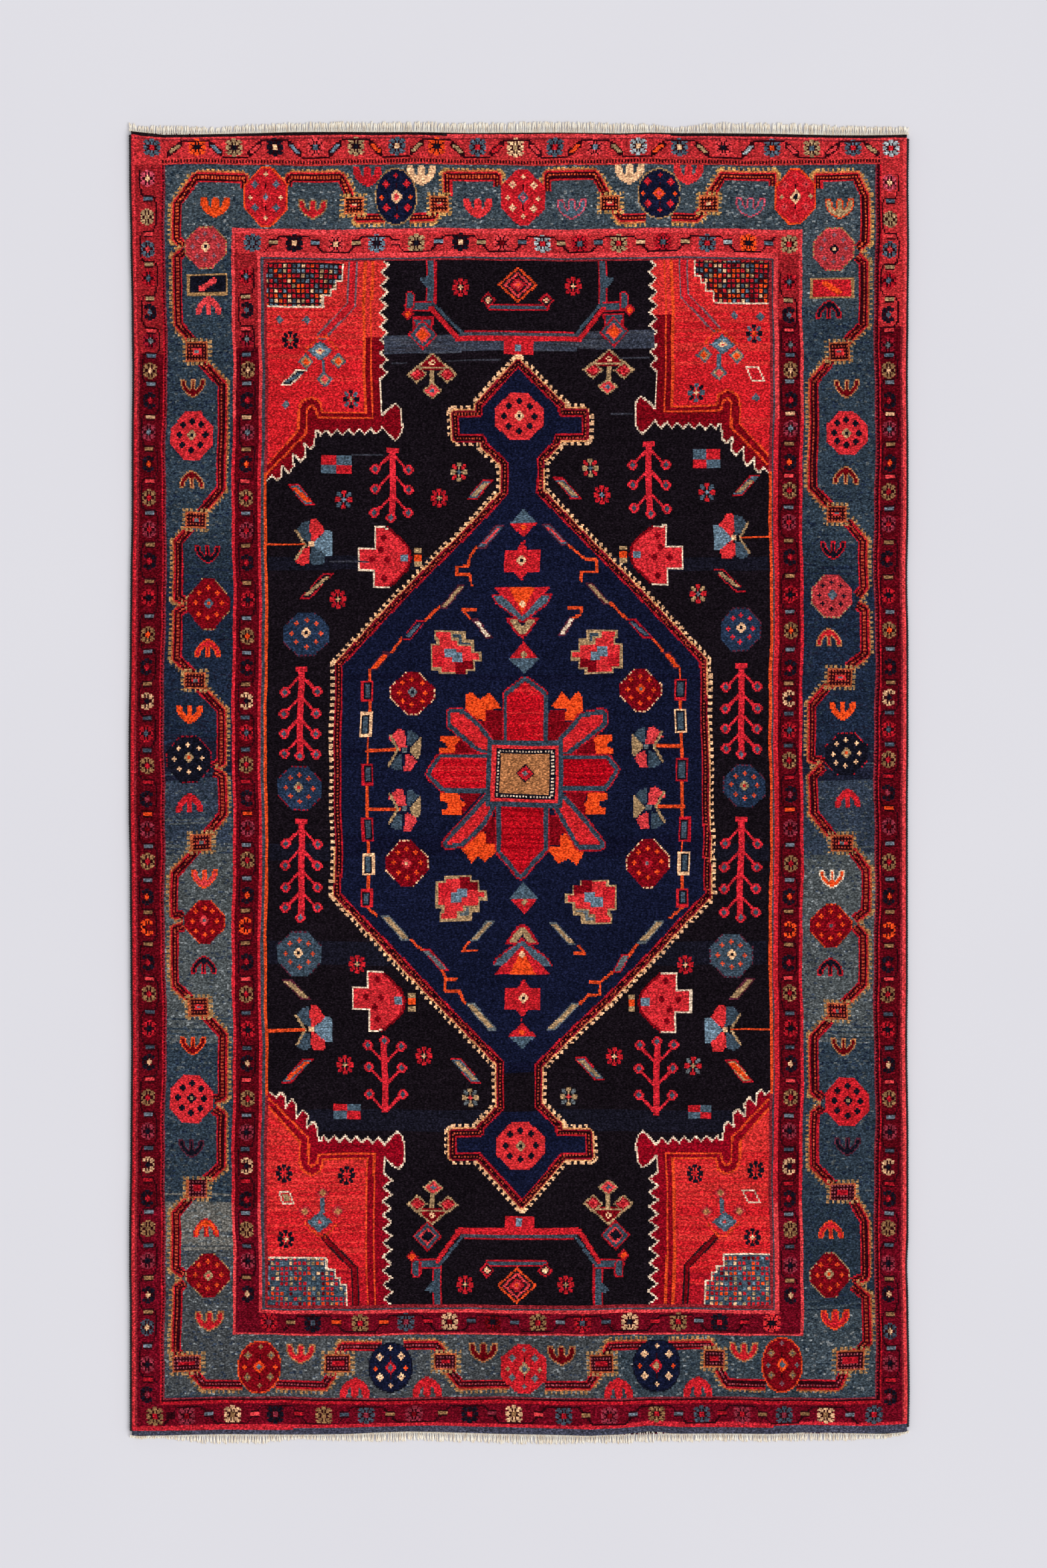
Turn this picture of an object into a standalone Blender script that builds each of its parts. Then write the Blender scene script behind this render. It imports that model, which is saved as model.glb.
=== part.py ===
"""A hand-knotted persian rug lying flat: its pile, the two overcast side cords and the two warp fringes.

Metres, +Z up. The origin is on the floor under the middle of the rug, and the rug's length runs along Y.
"""

import random

import bmesh
import bpy
import numpy as np

# --- driving sizes -----------------------------------------------------------------------------------------
RUG_WIDTH = 1.289          # widest, over both side cords
RUG_LENGTH = 2.184         # longest, over both fringes
PILE_THICKNESS = 0.010     # foundation and pile together
PILE_EDGE_ROUND = 0.0035   # how far the pile's tips fall away at the rim
SIDE_CORD_DIAMETER = 0.0064
SEAM_GAP = 0.0003          # left between pieces that lie against each other
PILE_END_REACH = 1.077     # the farthest that the pile reaches from the middle

WEB_DEPTH = 0.0030         # the narrow woven strip that the fringe grows from
WEB_HEIGHT = 0.0028
LOCKS_PER_COLUMN = 4
LOCK_SHARE = 0.72          # part of the web's length that locks cover
LOCK_TIP_SHARE = 0.66      # a lock's width and height at its tip, of those at its root
LOCK_LEAN = 0.0009         # the most that a tip leans sideways
LOCK_SHORTEST = 0.88       # a lock's length, of the length that the table gives at its place
LOCK_LONGEST = 1.06
FRINGE_SEED = 7

COLUMNS = 36               # pile cells across
ROWS = 30                  # pile cells along

# How far each long edge is drawn in from the rug's widest, station by station up its length.
SIDE_EDGES_MM = (
    # y, left_in, right_in
    (-1078, 2.0, 1.0),
    (-1005, 2.0, 0.0),
    (-870, 2.0, 2.0),
    (-800, 1.0, 4.0),
    (-750, 1.0, 2.0),
    (-590, 3.0, 2.0),
    (-430, 4.0, 4.0),
    (-320, 3.0, 3.0),
    (-150, 2.0, 3.0),
    (-40, 0.0, 3.0),
    (70, 0.0, 2.0),
    (230, 2.0, 2.0),
    (340, 3.0, 4.0),
    (450, 5.0, 2.0),
    (560, 5.0, 2.0),
    (670, 6.0, 3.0),
    (780, 5.0, 2.0),
    (890, 3.0, 1.0),
    (1000, 1.0, 2.0),
    (1078, 0.5, 1.0),
)

# How far each end of the pile is drawn in from its farthest reach, and how long the fringe is there.
END_EDGES_MM = (
    # x, top_in, bottom_in, top_fringe, bottom_fringe
    (-644, 1.0, 2.0, 14.0, 5.0),
    (-628, 4.5, 0.0, 14.0, 5.5),
    (-590, 8.0, 1.0, 15.5, 6.0),
    (-550, 8.0, 2.0, 15.0, 12.0),
    (-510, 7.0, 3.5, 12.5, 17.0),
    (-435, 5.5, 3.0, 15.5, 16.5),
    (-360, 3.5, 2.5, 17.0, 9.0),
    (-285, 3.5, 3.5, 17.5, 13.0),
    (-206, 4.0, 7.0, 18.0, 17.0),
    (-168, 3.5, 8.0, 18.0, 16.5),
    (-90, 5.5, 5.5, 18.0, 16.5),
    (-15, 5.0, 3.5, 18.5, 17.0),
    (60, 4.5, 2.0, 19.5, 17.0),
    (110, 5.0, 0.5, 19.0, 13.5),
    (165, 6.0, 3.0, 18.5, 17.0),
    (217, 4.5, 8.0, 15.0, 19.0),
    (256, 5.5, 4.0, 11.5, 15.0),
    (333, 5.5, 4.5, 18.5, 13.5),
    (410, 6.5, 3.5, 18.5, 13.5),
    (487, 8.0, 6.5, 18.5, 15.0),
    (525, 9.0, 5.5, 17.0, 14.0),
    (602, 9.0, 3.5, 15.0, 9.0),
    (630, 8.0, 6.0, 14.0, 6.0),
    (644, 7.5, 9.0, 13.0, 5.0),
)

# Low cockles that the foundation keeps where it lies: place, reach and height.
COCKLES_MM = (
    # x, y, reach, rise
    (-560, 560, 150, 0.7),
    (520, 330, 170, 0.6),
    (-520, -60, 190, 0.8),
    (540, -420, 160, 0.7),
    (-480, -800, 170, 0.6),
    (-80, 940, 180, 0.5),
    (120, -930, 190, 0.6),
    (30, 240, 230, 0.4),
)

MATERIALS = {
    # name: (red, green, blue), roughness
    "knotted wool": ((0.42, 0.020, 0.032), 0.92),
    "overcast wool": ((0.016, 0.012, 0.016), 0.88),
    "cotton warp": ((0.78, 0.69, 0.55), 0.90),
}


# --- edges as smooth functions of place --------------------------------------------------------------------
def column(table, number):
    return np.array([row[number] for row in table]) / 1000.0


def eased(table, number, at):
    """A column of a table read at a place, with an eased step from each station to the next."""
    stations = column(table, 0)
    values = column(table, number)
    i = int(np.clip(np.searchsorted(stations, at) - 1, 0, len(stations) - 2))
    share = float(np.clip((at - stations[i]) / (stations[i + 1] - stations[i]), 0.0, 1.0))
    share = share * share * (3.0 - 2.0 * share)
    return float(values[i] + (values[i + 1] - values[i]) * share)


def left_edge(y):
    return -RUG_WIDTH / 2 + eased(SIDE_EDGES_MM, 1, y)


def right_edge(y):
    return RUG_WIDTH / 2 - eased(SIDE_EDGES_MM, 2, y)


def end_edge(x, end):
    """The pile's end line, at the top (end = 1) or the bottom (end = -1)."""
    return end * (PILE_END_REACH - eased(END_EDGES_MM, 1 if end > 0 else 2, x))


def between(low, high, share):
    return low + (high - low) * share


def on_rug(across, along, inset):
    """A point of the rug's plan, from shares of its width and length, kept inset from the long edges."""
    y = between(-PILE_END_REACH, PILE_END_REACH, along)
    x = between(left_edge(y) + inset, right_edge(y) - inset, across)
    return x, between(end_edge(x, -1), end_edge(x, 1), along)


def cockle_rise(x, y):
    rise = 0.0
    for cx, cy, reach, height in COCKLES_MM:
        away = ((x - cx / 1000) ** 2 + (y - cy / 1000) ** 2) / (reach / 1000) ** 2
        rise += height / 1000 * float(np.exp(-away))
    return rise


# --- scene -------------------------------------------------------------------------------------------------
def clear_scene():
    for thing in list(bpy.data.objects):
        bpy.data.objects.remove(thing, do_unlink=True)


def make_material(name):
    (red, green, blue), roughness = MATERIALS[name]
    material = bpy.data.materials.new(name)
    material.use_nodes = True
    shader = material.node_tree.nodes["Principled BSDF"]
    shader.inputs["Base Color"].default_value = (red, green, blue, 1.0)
    shader.inputs["Roughness"].default_value = roughness
    shader.inputs["Metallic"].default_value = 0.0
    return material


def add_object(name, data, material, collection):
    thing = bpy.data.objects.new(name, data)
    thing.data.materials.append(material)
    collection.objects.link(thing)
    return thing


def mesh_from(bm, name):
    bmesh.ops.recalc_face_normals(bm, faces=bm.faces)
    mesh = bpy.data.meshes.new(name)
    bm.to_mesh(mesh)
    bm.free()
    return mesh


# --- the pieces --------------------------------------------------------------------------------------------
def add_pile(material, collection):
    """The knotted cloth: a flat underside, a top that follows the cockles, and a rounded upper rim."""
    inset = SIDE_CORD_DIAMETER + SEAM_GAP
    bm = bmesh.new()
    bmesh.ops.create_grid(bm, x_segments=COLUMNS, y_segments=ROWS, size=0.5)
    for vertex in bm.verts:
        x, y = on_rug(vertex.co.x + 0.5, vertex.co.y + 0.5, inset)
        vertex.co = (x, y, 0.0)
    raised = bmesh.ops.extrude_face_region(bm, geom=bm.faces[:])["geom"]
    top = [item for item in raised if isinstance(item, bmesh.types.BMVert)]
    for vertex in top:
        vertex.co.z = PILE_THICKNESS + cockle_rise(vertex.co.x, vertex.co.y)
    bmesh.ops.recalc_face_normals(bm, faces=bm.faces)
    weight = bm.edges.layers.float.new("bevel_weight_edge")
    for edge in bm.edges:
        upper = all(vertex.co.z > PILE_THICKNESS / 2 for vertex in edge.verts)
        on_rim = any(abs(face.normal.z) < 0.5 for face in edge.link_faces)
        if upper and on_rim:
            edge[weight] = 1.0
    pile = add_object("pile", mesh_from(bm, "pile"), material, collection)
    rim = pile.modifiers.new("rounded rim", "BEVEL")
    rim.width = PILE_EDGE_ROUND
    rim.segments = 2
    rim.limit_method = "WEIGHT"
    return pile


def add_side_cord(name, side, material, collection):
    """The warps at one long edge, overcast into a round cord that lies along the pile."""
    radius = SIDE_CORD_DIAMETER / 2
    curve = bpy.data.curves.new(name, "CURVE")
    curve.dimensions = "3D"
    curve.bevel_depth = radius
    curve.bevel_resolution = 2
    curve.use_fill_caps = True
    spline = curve.splines.new("POLY")
    spline.points.add(ROWS)
    short_of_end = SEAM_GAP / PILE_END_REACH
    for i in range(ROWS + 1):
        along = between(short_of_end, 1.0 - short_of_end, i / ROWS)
        x, y = on_rug(0.0 if side < 0 else 1.0, along, radius)
        spline.points[i].co = (x, y, radius, 1.0)
    return add_object(name, curve, material, collection)


def add_fringe(name, end, material, collection):
    """The warp ends: a row of locks that lie on the floor, all grown from one narrow woven web."""
    dice = random.Random(FRINGE_SEED + end)
    along = 0.5 + end / 2
    line = [on_rug(i / COLUMNS, along, SIDE_CORD_DIAMETER + SEAM_GAP) for i in range(COLUMNS + 1)]
    line.insert(0, on_rug(0.0, along, SIDE_CORD_DIAMETER / 2))
    line.append(on_rug(1.0, along, SIDE_CORD_DIAMETER / 2))
    line_x = [point[0] for point in line]
    line_out = [point[1] * end for point in line]
    first, last = left_edge(end * PILE_END_REACH), right_edge(end * PILE_END_REACH)
    locks = COLUMNS * LOCKS_PER_COLUMN
    pitch = (last - first) / (locks - 1 + LOCK_SHARE)

    bm = bmesh.new()
    bmesh.ops.create_grid(bm, x_segments=2 * locks - 1, y_segments=1, size=0.5)
    bm.verts.ensure_lookup_table()
    stations = sorted({round(vertex.co.x, 6) for vertex in bm.verts})
    for vertex in bm.verts:
        number = stations.index(round(vertex.co.x, 6))
        x = first + pitch * (number // 2 + (LOCK_SHARE if number % 2 else 0.0))
        nearby = (x - LOCK_SHARE * pitch / 2, x, x + LOCK_SHARE * pitch / 2)
        clear = float(np.interp(nearby, line_x, line_out).max()) + SEAM_GAP
        vertex.co = (x, end * (clear + (WEB_DEPTH if vertex.co.y * end > 0 else 0.0)), 0.0)
    raised = bmesh.ops.extrude_face_region(bm, geom=bm.faces[:])["geom"]
    for item in raised:
        if isinstance(item, bmesh.types.BMVert):
            item.co.z = WEB_HEIGHT
    bmesh.ops.recalc_face_normals(bm, faces=bm.faces)

    outer = sorted(
        (face for face in bm.faces if face.normal.y * end > 0.9),
        key=lambda face: face.calc_center_median().x,
    )
    roots = outer[::2]
    tips = bmesh.ops.extrude_discrete_faces(bm, faces=roots)["faces"]
    for tip in tips:
        middle = tip.calc_center_median()
        reach = eased(END_EDGES_MM, 3 if end > 0 else 4, middle.x)
        reach *= dice.uniform(LOCK_SHORTEST, LOCK_LONGEST)
        lean = dice.uniform(-LOCK_LEAN, LOCK_LEAN)
        for vertex in tip.verts:
            vertex.co.x = middle.x + (vertex.co.x - middle.x) * LOCK_TIP_SHARE + lean
            vertex.co.y += end * (reach - WEB_DEPTH - SEAM_GAP)
            vertex.co.z *= LOCK_TIP_SHARE
    limit = RUG_LENGTH / 2
    for vertex in bm.verts:
        vertex.co.y = float(np.clip(vertex.co.y, -limit, limit))
    return add_object(name, mesh_from(bm, name), material, collection)


def main():
    clear_scene()
    rug = bpy.data.collections.new("persian_rug")
    bpy.context.scene.collection.children.link(rug)
    wool = make_material("knotted wool")
    dark = make_material("overcast wool")
    cotton = make_material("cotton warp")
    add_pile(wool, rug)
    add_side_cord("side_cord_left", -1, dark, rug)
    add_side_cord("side_cord_right", 1, dark, rug)
    add_fringe("fringe_top", 1, cotton, rug)
    add_fringe("fringe_bottom", -1, cotton, rug)


main()
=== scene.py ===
# %% [markdown]
# # A hand-knotted Persian rug, laid flat
# The rug is about 1.3 m wide and 2.2 m long: wool pile on a cotton foundation, an overcast cord down each
# long edge, and short cotton warp ends at both ends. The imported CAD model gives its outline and
# thickness. This script knots the pile from a chart, as a weaver does, then makes the cords and the
# fringe that frame it.

import bmesh
import bpy
import numpy as np
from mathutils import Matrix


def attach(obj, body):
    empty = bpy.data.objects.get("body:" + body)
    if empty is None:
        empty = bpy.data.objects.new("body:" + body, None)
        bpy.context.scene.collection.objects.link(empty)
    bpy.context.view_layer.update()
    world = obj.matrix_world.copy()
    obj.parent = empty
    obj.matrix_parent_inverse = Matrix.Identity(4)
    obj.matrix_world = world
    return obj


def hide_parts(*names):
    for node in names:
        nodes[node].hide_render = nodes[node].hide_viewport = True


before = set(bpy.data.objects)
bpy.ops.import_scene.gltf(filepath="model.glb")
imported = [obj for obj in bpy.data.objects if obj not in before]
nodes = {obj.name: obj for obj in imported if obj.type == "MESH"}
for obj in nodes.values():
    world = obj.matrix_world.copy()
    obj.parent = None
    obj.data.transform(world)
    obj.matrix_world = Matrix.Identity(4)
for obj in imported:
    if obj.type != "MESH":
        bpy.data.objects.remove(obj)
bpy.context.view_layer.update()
print("CAD nodes:", ", ".join(sorted(nodes)))

# %% [markdown]
# The camera comes first, so that every later piece can be judged against the photograph. The rug was
# photographed from straight above with a long lens, so the camera hangs six metres over the floor and its
# lens is worked out from the part of the floor that the picture covers.

# %% Camera
CAMERA_HEIGHT = 6.0
VIEW_TALL = 2.584            # metres of floor from the bottom of the picture to its top
VIEW_MIDDLE = (0.0072, -0.0016)
SENSOR = 36.0

bpy.ops.object.select_all(action="DESELECT")
bpy.ops.object.camera_add(location=(*VIEW_MIDDLE, CAMERA_HEIGHT), rotation=(0.0, 0.0, 0.0))
camera = bpy.context.object
camera.name = "overhead_camera"
camera.data.sensor_fit = "VERTICAL"
camera.data.sensor_height = SENSOR
camera.data.lens = SENSOR * (CAMERA_HEIGHT - 0.010) / VIEW_TALL
camera.data.clip_end = 50.0
bpy.context.scene.camera = camera
print("lens", round(camera.data.lens, 1), "mm")

# %% [markdown]
# Two helpers that all the materials share: one turns an sRGB hex colour to the linear values that Blender
# shades with, the other adds a node with its settings and its links.


# %% Colour and node helpers
def linear(colour):
    """The linear red, green and blue of an sRGB hex colour."""
    parts = [int(colour[i:i + 2], 16) / 255 for i in (1, 3, 5)]
    return [part / 12.92 if part <= 0.04045 else ((part + 0.055) / 1.055) ** 2.4 for part in parts]


def node(tree, kind, links=(), **settings):
    """Adds a node: settings by name or by input, and links as input = output."""
    made = tree.nodes.new(kind)
    for name, value in settings.items():
        setattr(made, name, value)
    for socket, source in dict(links).items():
        target = made.inputs[socket]
        if isinstance(source, bpy.types.NodeSocket):
            tree.links.new(source, target)
        else:
            target.default_value = source
    return made


# %% [markdown]
# ## The rug's outline
# A rug made by hand is never quite straight. The edges wander by a few millimetres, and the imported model
# holds that outline, so the same short tables are repeated here: the chart is drawn on a perfect
# rectangle and then laid into the wandering one.

# %% Sizes and edge tables
RUG_WIDTH = 1.289
PILE_END_REACH = 1.077
PILE_THICKNESS = 0.010
PILE_EDGE_ROUND = 0.0035
SIDE_CORD_DIAMETER = 0.0064
SEAM_GAP = 0.0003
WEB_DEPTH = 0.0030
RUG_LENGTH = 2.184

SIDE_EDGES_MM = (
    # y, left_in, right_in
    (-1078, 2.0, 1.0), (-1005, 2.0, 0.0), (-870, 2.0, 2.0), (-800, 1.0, 4.0), (-750, 1.0, 2.0),
    (-590, 3.0, 2.0), (-430, 4.0, 4.0), (-320, 3.0, 3.0), (-150, 2.0, 3.0), (-40, 0.0, 3.0),
    (70, 0.0, 2.0), (230, 2.0, 2.0), (340, 3.0, 4.0), (450, 5.0, 2.0), (560, 5.0, 2.0),
    (670, 6.0, 3.0), (780, 5.0, 2.0), (890, 3.0, 1.0), (1000, 1.0, 2.0), (1078, 0.5, 1.0),
)
END_EDGES_MM = (
    # x, top_in, bottom_in, top_fringe, bottom_fringe
    (-644, 1.0, 2.0, 14.0, 5.0), (-628, 4.5, 0.0, 14.0, 5.5), (-590, 8.0, 1.0, 15.5, 6.0),
    (-550, 8.0, 2.0, 15.0, 12.0), (-510, 7.0, 3.5, 12.5, 17.0), (-435, 5.5, 3.0, 15.5, 16.5),
    (-360, 3.5, 2.5, 17.0, 9.0), (-285, 3.5, 3.5, 17.5, 13.0), (-206, 4.0, 7.0, 18.0, 17.0),
    (-168, 3.5, 8.0, 18.0, 16.5), (-90, 5.5, 5.5, 18.0, 16.5), (-15, 5.0, 3.5, 18.5, 17.0),
    (60, 4.5, 2.0, 19.5, 17.0), (110, 5.0, 0.5, 19.0, 13.5), (165, 6.0, 3.0, 18.5, 17.0),
    (217, 4.5, 8.0, 15.0, 19.0), (256, 5.5, 4.0, 11.5, 15.0), (333, 5.5, 4.5, 18.5, 13.5),
    (410, 6.5, 3.5, 18.5, 13.5), (487, 8.0, 6.5, 18.5, 15.0), (525, 9.0, 5.5, 17.0, 14.0),
    (602, 9.0, 3.5, 15.0, 9.0), (630, 8.0, 6.0, 14.0, 6.0), (644, 7.5, 9.0, 13.0, 5.0),
)
COCKLES_MM = (
    # x, y, reach, rise
    (-560, 560, 150, 0.7), (520, 330, 170, 0.6), (-520, -60, 190, 0.8), (540, -420, 160, 0.7),
    (-480, -800, 170, 0.6), (-80, 940, 180, 0.5), (120, -930, 190, 0.6), (30, 240, 230, 0.4),
)


def eased(table, number, at):
    """A column of a table read at places, with an eased step from each station to the next."""
    stations = np.array([row[0] for row in table]) / 1000
    values = np.array([row[number] for row in table]) / 1000
    i = np.clip(np.searchsorted(stations, at) - 1, 0, len(stations) - 2)
    share = np.clip((at - stations[i]) / (stations[i + 1] - stations[i]), 0.0, 1.0)
    share = share * share * (3.0 - 2.0 * share)
    return values[i] + (values[i + 1] - values[i]) * share


def on_rug(across, along, inset):
    """Points of the rug's plan, from shares of its width and length, kept inset from the long edges."""
    y = PILE_END_REACH * (2 * along - 1)
    left = -RUG_WIDTH / 2 + eased(SIDE_EDGES_MM, 1, y) + inset
    right = RUG_WIDTH / 2 - eased(SIDE_EDGES_MM, 2, y) - inset
    x = left + (right - left) * across
    low = -(PILE_END_REACH - eased(END_EDGES_MM, 2, x))
    high = PILE_END_REACH - eased(END_EDGES_MM, 1, x)
    return x, low + (high - low) * along


def cockle_rise(x, y):
    """How far the low waves of the foundation lift the cloth."""
    rise = np.zeros(np.shape(x))
    for cx, cy, reach, height in COCKLES_MM:
        away = ((x - cx / 1000) ** 2 + (y - cy / 1000) ** 2) / (reach / 1000) ** 2
        rise = rise + height / 1000 * np.exp(-away)
    return rise


print("rug", RUG_WIDTH, "x", RUG_LENGTH, "m, pile", PILE_THICKNESS * 1000, "mm")

# %% [markdown]
# ## The knot chart
# A weaver reads the pattern from a chart with one square for each knot. This one is drawn with code:
# bands and polygons in millimetres, small repeats given as charts, and each motif placed by a short
# table. The wool comes in batches of dye, named here for what they colour. Their hex values are sRGB, as
# a colour picker shows them.

# %% Dyes
DYES = dict(
    field_black="#150F15", field_blue="#161520", streak="#33333C", panel_band="#3F424C", abrash="#363A47",
    navy="#12162D", night="#12121D", soot="#22151A", border_top="#3E4850", border_teal="#2F3B47",
    border_dusk="#26313D", border_deep="#1D273A", border_ink="#1C1E2E", border_slate="#323B4A",
    border_ash="#4E5355", border_khaki="#6A6762", guard_red="#B82C30", guard_side_red="#941E24",
    guard_maroon="#590713", ring="#2C070F", top_line="#B8302F", coral="#D63D41", coral_left="#CB3038",
    coral_mid="#C3222E", edge_red="#86222A", border_red="#7E2731", comb="#9F774D", guard_khaki="#8A6442",
    guard_steel="#3D4854", guard_cream="#CF9F78", guard_pink="#862A39", guard_grey="#626C76",
    dusty="#80555F", branch="#6B545C", dark_blue="#233148", ember="#D14A2E", tree_red="#CE2531",
    navy_low="#101228", guard_low="#66091A", border_low="#45484B", petal_red="#B8101D",
    petal_light="#CF262A", petal_deep="#A00716", crimson="#AA1623", red_line="#861222", red="#BE1E27",
    spandrel_red="#C71F26", spandrel_light="#CE2F2D", spandrel_low="#88081A", maroon="#760814",
    dark_red="#64060F", bright_red="#D22E32", jug_red="#CC2A31", orange="#EB481B", orange_line="#D9461F",
    orange_khaki="#A95230", comb_foot="#DC9560", beading="#21060C", bead="#A8402C", dull_bead="#93434C",
    comb_gold="#BE8D52", stem_orange="#C4683C", fire_bead="#CF5530", fleck="#767A7C", low_teal="#38424A",
    petal_ring="#33414F", cream="#EBB58A", ivory="#E0C5AC", khaki="#A3835F", tan="#AB6F46",
    rosette_coral="#B03439", pink="#C4485A", grey="#5E6468", steel="#485967", light_blue="#657A8A",
    pale_grey="#9AA2A6", blue_grey="#3A4855", end_navy="#434454", end_red="#BE2430", end_black="#1E1418",
    mauve="#53202F",
)
CODE = {name: number for number, name in enumerate(DYES)}
print("dyes:", len(DYES))

# %% [markdown]
# The chart has a number for each knot, the dye that it is tied in. Every helper works on a patch of it, a
# box in millimetres, so a small shape costs only its own knots. Later shapes cover earlier ones, as in a
# drawing.

# %% Chart and drawing helpers
dice = np.random.default_rng(11)
KNOTS_ALL, ROWS_ALL = 507, 774
CHART_LEFT, CHART_RIGHT, CHART_LOW, CHART_HIGH = -635.3, 635.4, -1073.2, 1071.3     # millimetres
KNOT = (CHART_RIGHT - CHART_LEFT) / KNOTS_ALL
ROW = (CHART_HIGH - CHART_LOW) / ROWS_ALL
knot_x = CHART_LEFT + KNOT * (np.arange(KNOTS_ALL) + 0.5)
row_y = CHART_LOW + ROW * (np.arange(ROWS_ALL) + 0.5)
chart = np.zeros((ROWS_ALL, KNOTS_ALL), dtype=np.int16)
print(f"{KNOTS_ALL} x {ROWS_ALL} knots, each {KNOT:.2f} x {ROW:.2f} mm")


def patch(left, bottom, right, top):
    """The part of the chart in a box of millimetres: its slices and the place of each knot."""
    rows = slice(*np.searchsorted(row_y, (bottom, top)))
    knots = slice(*np.searchsorted(knot_x, (left, right)))
    return (rows, knots), *np.meshgrid(knot_x[knots], row_y[rows])


def lay(where, mask, dye):
    """Knots the masked part of a patch in one dye."""
    chart[where][mask] = CODE[dye]


def box(left, bottom, right, top, dye):
    """An upright box of one dye; it is empty if its sides have crossed."""
    where, _, _ = patch(left, bottom, right, top)
    chart[where] = CODE[dye]


def block(x0, y0, x1, y1, dye):
    """A box between two opposite corners, in any order, as a mirrored drawing gives them."""
    box(min(x0, x1), min(y0, y1), max(x0, x1), max(y0, y1), dye)


def in_polygon(points, x, y):
    """Which places lie inside a polygon."""
    inside = np.zeros(x.shape, bool)
    for (ax, ay), (bx, by) in zip(points, np.roll(points, -1, axis=0)):
        if ay != by:
            crosses = (ay > y) != (by > y)
            inside ^= crosses & (x < (bx - ax) * (y - ay) / (by - ay) + ax)
    return inside


def along(points, x, y):
    """How far each place is from a run of straight pieces, on which side, and how far along it."""
    best = np.full(x.shape, 1e9)
    side = np.zeros(x.shape)
    run = np.zeros(x.shape)
    start = 0.0
    for (ax, ay), (bx, by) in zip(points[:-1], points[1:]):
        length = np.hypot(bx - ax, by - ay)
        if length == 0:
            continue
        ux, uy = (bx - ax) / length, (by - ay) / length
        ahead = (x - ax) * ux + (y - ay) * uy
        off = (y - ay) * ux - (x - ax) * uy
        clamped = np.clip(ahead, 0, length)
        away = np.hypot(ahead - clamped, off)
        nearer = away - 1e-3 * np.abs(off) < best
        best = np.where(nearer, away - 1e-3 * np.abs(off), best)
        side = np.where(nearer, np.sign(off) * away, side)
        run = np.where(nearer, start + clamped, run)
        start += length
    return side, run


def around(points, reach):
    """The patch around a run of points."""
    points = np.asarray(points, float)
    low, high = points.min(axis=0) - reach, points.max(axis=0) + reach
    return patch(low[0], low[1], high[0], high[1])


def moved(points, x0, y0, side=1, end=1):
    """The points of a drawing, mirrored where side or end is -1, and moved to their place."""
    return [(x0 + side * x, y0 + end * y) for x, y in points]


def fill(points, dye, outline=None, edge=2.9):
    """A polygon, with a line of another dye along its edge."""
    points = np.asarray(points, float)
    where, x, y = around(points, edge + KNOT)
    inside = in_polygon(points, x, y)
    lay(where, inside, dye)
    if outline:
        side, _ = along(np.vstack([points, points[:1]]), x, y)
        lay(where, (np.abs(side) < edge) & (inside | (np.abs(side) < edge * 0.35)), outline)


def line(points, width, dye, dash=0.0, share=0.5):
    """A line of one width, solid or dashed."""
    points = np.asarray(points, float)
    where, x, y = around(points, width)
    side, run = along(points, x, y)
    mask = np.abs(side) <= width / 2
    if dash:
        mask &= (run % dash) < dash * share
    lay(where, mask, dye)


def octagon(x0, y0, wide, tall, dye, outline=None, edge=3.0, blunt=1.36):
    """An octagon with long slanted sides, as knots draw a circle."""
    where, x, y = patch(x0 - wide, y0 - tall, x0 + wide, y0 + tall)
    across, up = np.abs(x - x0) / (wide / 2), np.abs(y - y0) / (tall / 2)
    reach = np.maximum(np.maximum(across, up), (across + up) / blunt if blunt else np.hypot(across, up))
    lay(where, reach <= 1.0, dye)
    if outline:
        rim_knots = (reach <= 1.0) & (reach > 1 - 2 * edge / (wide + tall))
        knots_apart = np.round(x / KNOT) + np.round(y / ROW)
        lay(where, rim_knots & (knots_apart % 3 != 0), outline)


def lozenge(x0, y0, wide, tall, *dyes, step=4.0):
    """Nested diamonds, the outermost dye first."""
    for ring, dye in enumerate(dyes):
        grow = 1 - ring * 2 * step / min(wide, tall)
        if grow > 0:
            where, x, y = patch(x0 - wide, y0 - tall, x0 + wide, y0 + tall)
            lay(where, np.abs(x - x0) / (wide / 2) + np.abs(y - y0) / (tall / 2) <= grow, dye)


def stamp(motif, x0, y0, dyes, flip_x=False, flip_y=False):
    """A small charted motif, centred on a place; dots leave the ground as it is."""
    lines = [text[::-1] if flip_x else text for text in (motif[::-1] if flip_y else motif)]
    first_row = np.searchsorted(row_y, y0 + len(lines) * ROW / 2 - ROW / 2)
    first_knot = np.searchsorted(knot_x, x0 - len(lines[0]) * KNOT / 2)
    for down, text in enumerate(lines):
        for right, symbol in enumerate(text):
            if symbol in dyes:
                chart[first_row - down, first_knot + right] = CODE[dyes[symbol]]


# %% [markdown]
# The rug is laid out in frames, from the coral stripe at the edge to the black field. Each frame is a box
# over the last one. The blue of the main border changes down the rug, because the weaver ran out of one
# batch of wool and went on with the next: rugs call that abrash.

# %% Ground bands
LEFT, RIGHT, BOTTOM, TOP = -640.0, 640.0, -1080.0, 1080.0
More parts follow.
